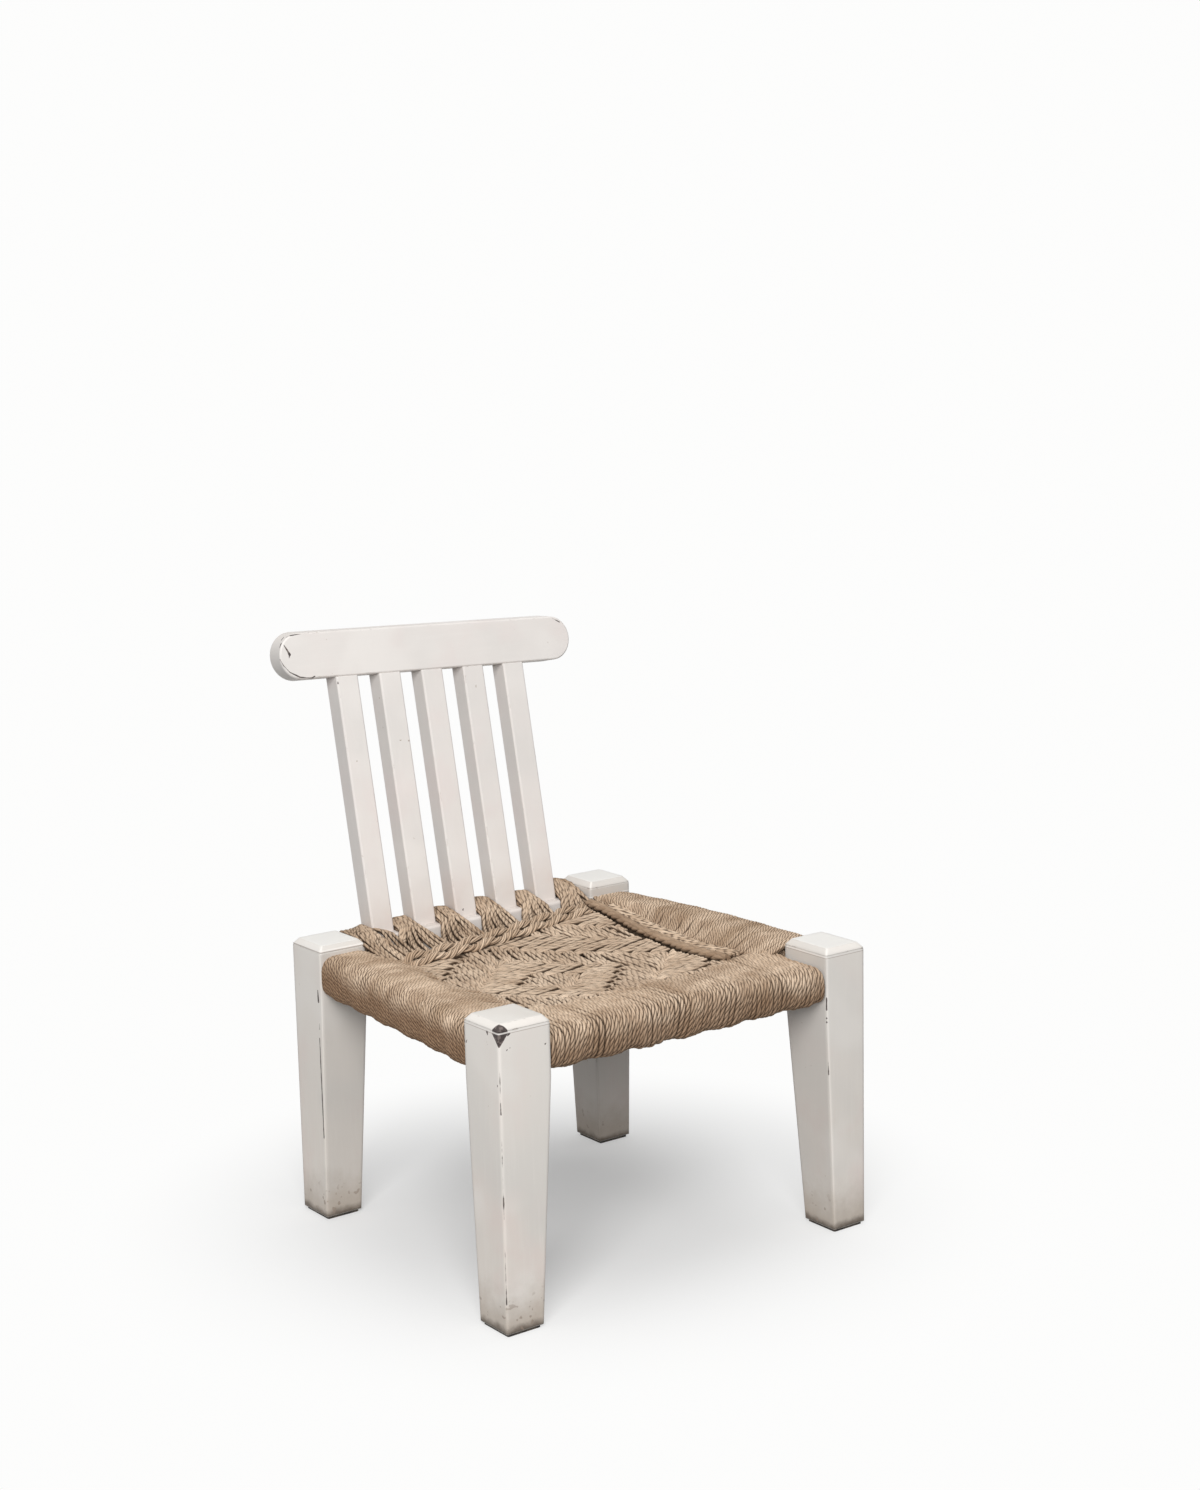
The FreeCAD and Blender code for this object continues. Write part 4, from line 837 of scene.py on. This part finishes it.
# ---------------------------------------------------------------------------
# Rear turns and sheaves: five turns of cord round the rear rail in every bay between
# the slats. From each bay a sheaf of thinner cord comes over the rail and fans out
# to the seam, tied down along its right-hand side.
BAYS = (-160.6, -96.0, -32.0, 32.0, 96.0, 160.6)
FAN_EDGES = (-194, -166, -97, -36, 28, 85, 150)
LIFTS = (-7, -5, -0.5, 2.5, 0, 8)
HOOD_LEFT = -158
RAIL_FRONT, RAIL_BACK, RAIL_TOP, RAIL_LOW = 203.0, 247.0, 352.0, 307.0
REAR_TURNS, REAR_PITCH, CLEAR = 5, 6.3, 3.2
FAN_STRAW = ((0.790, 0.620, 0.464), (0.400, 0.280, 0.187), STRAW[2])
fan_fibre = cord_fibre("fan_fibre", FAN_STRAW, ply=0.75, fine=0.3, flank_shade=(0.94, 0.10, 0.72), broad=1.1)
fan_cord = cord_of(fan_fibre, 2.6, 26, 0.09, 10)
turn_cord = {**fan_cord, "Radius": 2.95 * MM}


def braid_bow(x):
    """How far the braid sags towards the front, out of the seam's straight line."""
    share = (x - SEAM_LEFT) / SEAM_WIDTH
    return 5 + 11 * math.sin(math.pi * clamped(share)) + 8 * ease(0.80, 1.0, share)


for bay, middle in enumerate(BAYS):
    pick = random.Random(40 + bay)
    loop = [(RAIL_FRONT - CLEAR, 330), (RAIL_FRONT - CLEAR, RAIL_TOP + CLEAR),
            (RAIL_BACK + CLEAR, RAIL_TOP + CLEAR), (RAIL_BACK + CLEAR, RAIL_LOW - CLEAR),
            (RAIL_FRONT - CLEAR, RAIL_LOW - CLEAR), (RAIL_FRONT - CLEAR, 330.5)]
    paths = [[(middle + REAR_PITCH * (turn - 2), y, z) for y, z in filleted(loop, (7, 7, 7, 7), 2.3)]
             for turn in range(REAR_TURNS)]
    lay_cords(f"rear_turns_{bay + 1}", paths, turn_cord, f"rear_wrap_{bay + 1}", [0.15] * REAR_TURNS)

    # The sheaf: seven cords beneath, darker as painted shade, and nine lighter ones on top
    paths, tones = [], []
    left_x, right_x = FAN_EDGES[bay], FAN_EDGES[bay + 1] + 8
    for layer, count in ((1, 7), (0, 9)):
        for cord in range(count):
            share = (cord + 0.5) / count + pick.uniform(-0.035, 0.035)
            cross = pick.uniform(-0.10, 0.10) if layer == 0 else 0.0
            at_rail = middle + 27.5 * (share - 0.5) if bay else HOOD_LEFT + 13 * share
            at_seam = left_x + (right_x - left_x) * clamped(share + cross) + pick.uniform(-1.5, 1.5)
            end_y = seam(at_seam) + 2 - braid_bow(at_seam)
            drop = 4.4 * layer + pick.uniform(-0.8, 0.8)
            arch = 1.2 * math.sin(math.pi * share)
            hug = (1 - share) ** 1.3
            step_x = at_seam - at_rail
            top = 363.5 - drop + LIFTS[bay] * (1 - share * 0.4)
            route = [(at_rail, 247, 350), (at_rail, 246, top - 2), (at_rail, 238, top + arch),
                     (at_rail + step_x * 0.06, 205, 358.5 - drop - 3.0 * hug - 2.5 * share + arch),
                     (at_rail + step_x * 0.30, 186, 355 - drop * 0.8 - 13 * hug),
                     (at_rail + step_x * 0.60, 162, 349.5 - drop * 0.7 - 9 * hug),
                     (at_seam, end_y, panel_top(at_seam, end_y) + 3 - drop * 0.6)]
            curve = filleted(route, (3, 8, 18, 22, 30), 2.4)
            wave = pick.uniform(0, 6.28)
            tones.append(pick.uniform(0.35, 1.0) if layer == 0 else pick.uniform(0.0, 0.2))
            paths.append([(x + 0.9 * math.sin(i * 0.13 + wave), y, z + 0.6 * math.cos(i * 0.17 + wave))
                          for i, (x, y, z) in enumerate(curve)])

    # The cord that ties the sheaf down lies along its right-hand side
    lift = LIFTS[bay]
    left = middle - 13 if bay else HOOD_LEFT
    route = [(left, 243, 358 + lift), (left + 5, 241, 365 + lift),
             (middle + 11, 239, 364.5 + lift * 0.6), (middle + 14, 214, 358 + lift * 0.5),
             (middle + 12, 190, 354), (right_x + 2, seam(right_x) + 2, 345)]
    paths.append(filleted(route, (6, 8, 20, 30), 2.4))
    if bay == 5:
        # Two stray cords round the last sheaf, against the post
        for fall, wide in ((0, 0), (1.5, 5)):
            route = [(148, 241, 368), (151 + wide, 239, 374 - fall), (168 + wide, 234, 369 - fall),
                     (184 + wide * 0.6, 218, 361), (186 + wide * 0.4, 192, 354), (176 + wide, 160, 347)]
            paths.append(filleted(route, (3, 10, 20, 20), 2.4))
    if bay == 0:
        # Loose cords from the first sheaf: behind the post, and across the slat's foot
        for x0, x1, x2, z0 in (
                (-160, -178, -181, 355), (-157, -172, -176, 359), (-153, -166, -172, 357),
                (-148, -138, -160, 358), (-147, -131, -152, 356), (-146, -124, -142, 353)):
            route = [(x0, 243, 355), (x0, 236, 358), (x1, 206, z0),
                     (x1 * 0.5 + x2 * 0.5, 160, 348), (x2, 104, 340)]
            paths.append(filleted(route, (6, 16, 30), 2.4))
    tones += [0.0] * (len(paths) - len(tones))
    lay_cords(f"sheaf_{bay + 1}", paths, fan_cord, f"rope_fan_{bay + 1}", tones)


# ---------------------------------------------------------------------------
# Braid: two strands of three plies, each ply a soft bundle of yarns. They are twisted
# by hand, lie along the seam, and go down under the cords at both its ends.
def strand_paths(line, count, spread, lay, start=0.0, step=2.2):
    """Plies twisted round one another along a line of points."""
    line = evenly(line, step)
    forward = np.gradient(line, axis=0)
    forward /= np.linalg.norm(forward, axis=1)[:, None]
    side = np.cross(forward, (0, 0, 1.0))
    side /= np.linalg.norm(side, axis=1)[:, None]
    over = np.cross(side, forward)
    travelled = np.arange(len(line)) * step
    uneven = 0.35 * np.sin(travelled * 0.11 + start) + 0.25 * np.sin(travelled * 0.05 + 2 * start)
    made = []
    for k in range(count):
        turn = 2 * math.pi * travelled / lay + uneven + 2 * math.pi * k / count + start
        made.append(line + side * (spread * np.cos(turn))[:, None]
                    + over * (spread * np.sin(turn))[:, None])
    return made


yarn_fibre = cord_fibre("yarn_fibre", STRAW, ply=0.85, fine=0.0, flank_shade=(0.95, -0.15, 0.62), broad=1.0)
yarn_ply = cord_of(yarn_fibre, 3.1, 70, 0.07, 20, 5.0)
for name, rear in (("braid_strand_front", 0), ("braid_strand_rear", 1)):
    line = []
    for x in range(-172, 151, 6):
        swing = 2.2 * math.cos(2 * math.pi * x / 44 + math.pi * rear)
        tuck = 9 * ease(-160, -172, x) + 5 * ease(142, 150, x)
        line.append((x, seam(x) - 7 - braid_bow(x) + rear * 12.5,
                     panel_edge(x) + 6.0 + rear * 4.2 + swing - tuck))
    lay_cords(name + "_cord", strand_paths(line, 3, 3.0, 36.0, 2.0 * rear), yarn_ply, name, hand=-1.0)

# ---------------------------------------------------------------------------
# Side cord: a stout brown cord of three soft plies, laid beside the right-hand
# winding with its front end tucked into the weave.
BROWN = ((0.450, 0.325, 0.225), (0.320, 0.220, 0.147), (0.075, 0.046, 0.028))
brown_fibre = cord_fibre("brown_fibre", BROWN, ply=0.25, fine=0.0, flank_shade=(0.90, -0.35, 0.35), broad=1.2)
side_ply = cord_of(brown_fibre, 4.1, 60, 0.03, 16, 3.0)
line = filleted([(161, 166, 4), (162, 138, 1), (144, 40, 0), (133, -70, 0), (137, -150, -2)],
                (30, 60, 60), 4)
line = [(x, y, panel_top(x, y) + 6.2 + lift) for x, y, lift in line]
lay_cords("side_cord_rope", strand_paths(line, 3, 2.5, 44.0), side_ply, "side_cord")

# ---------------------------------------------------------------------------
# Side plait: a flat plait of six thin strands between the side cord and the winding.
PLAIT_STRANDS, PLAIT_LAY, PLAIT_STEP = 6, 52, 2.2
plait_cord = cord_of(yarn_fibre, 3.0, 30, 0.07, 20)
line = filleted([(180, 150, 0), (170, 110, 0), (158, 40, 0), (148, -70, 0), (152, -140, 0)],
                (30, 60, 60), PLAIT_STEP)
paths = []
for k in range(PLAIT_STRANDS):
    turns = [2 * math.pi * (i * PLAIT_STEP / PLAIT_LAY + k / PLAIT_STRANDS) for i in range(len(line))]
    paths.append([(x + 7.0 * math.sin(turn) + 8, y, panel_top(x, y) + 3.4 + 2.0 * math.cos(turn))
                  for (x, y, _), turn in zip(line, turns)])
lay_cords("side_plait_cord", paths, plait_cord, "side_plait")
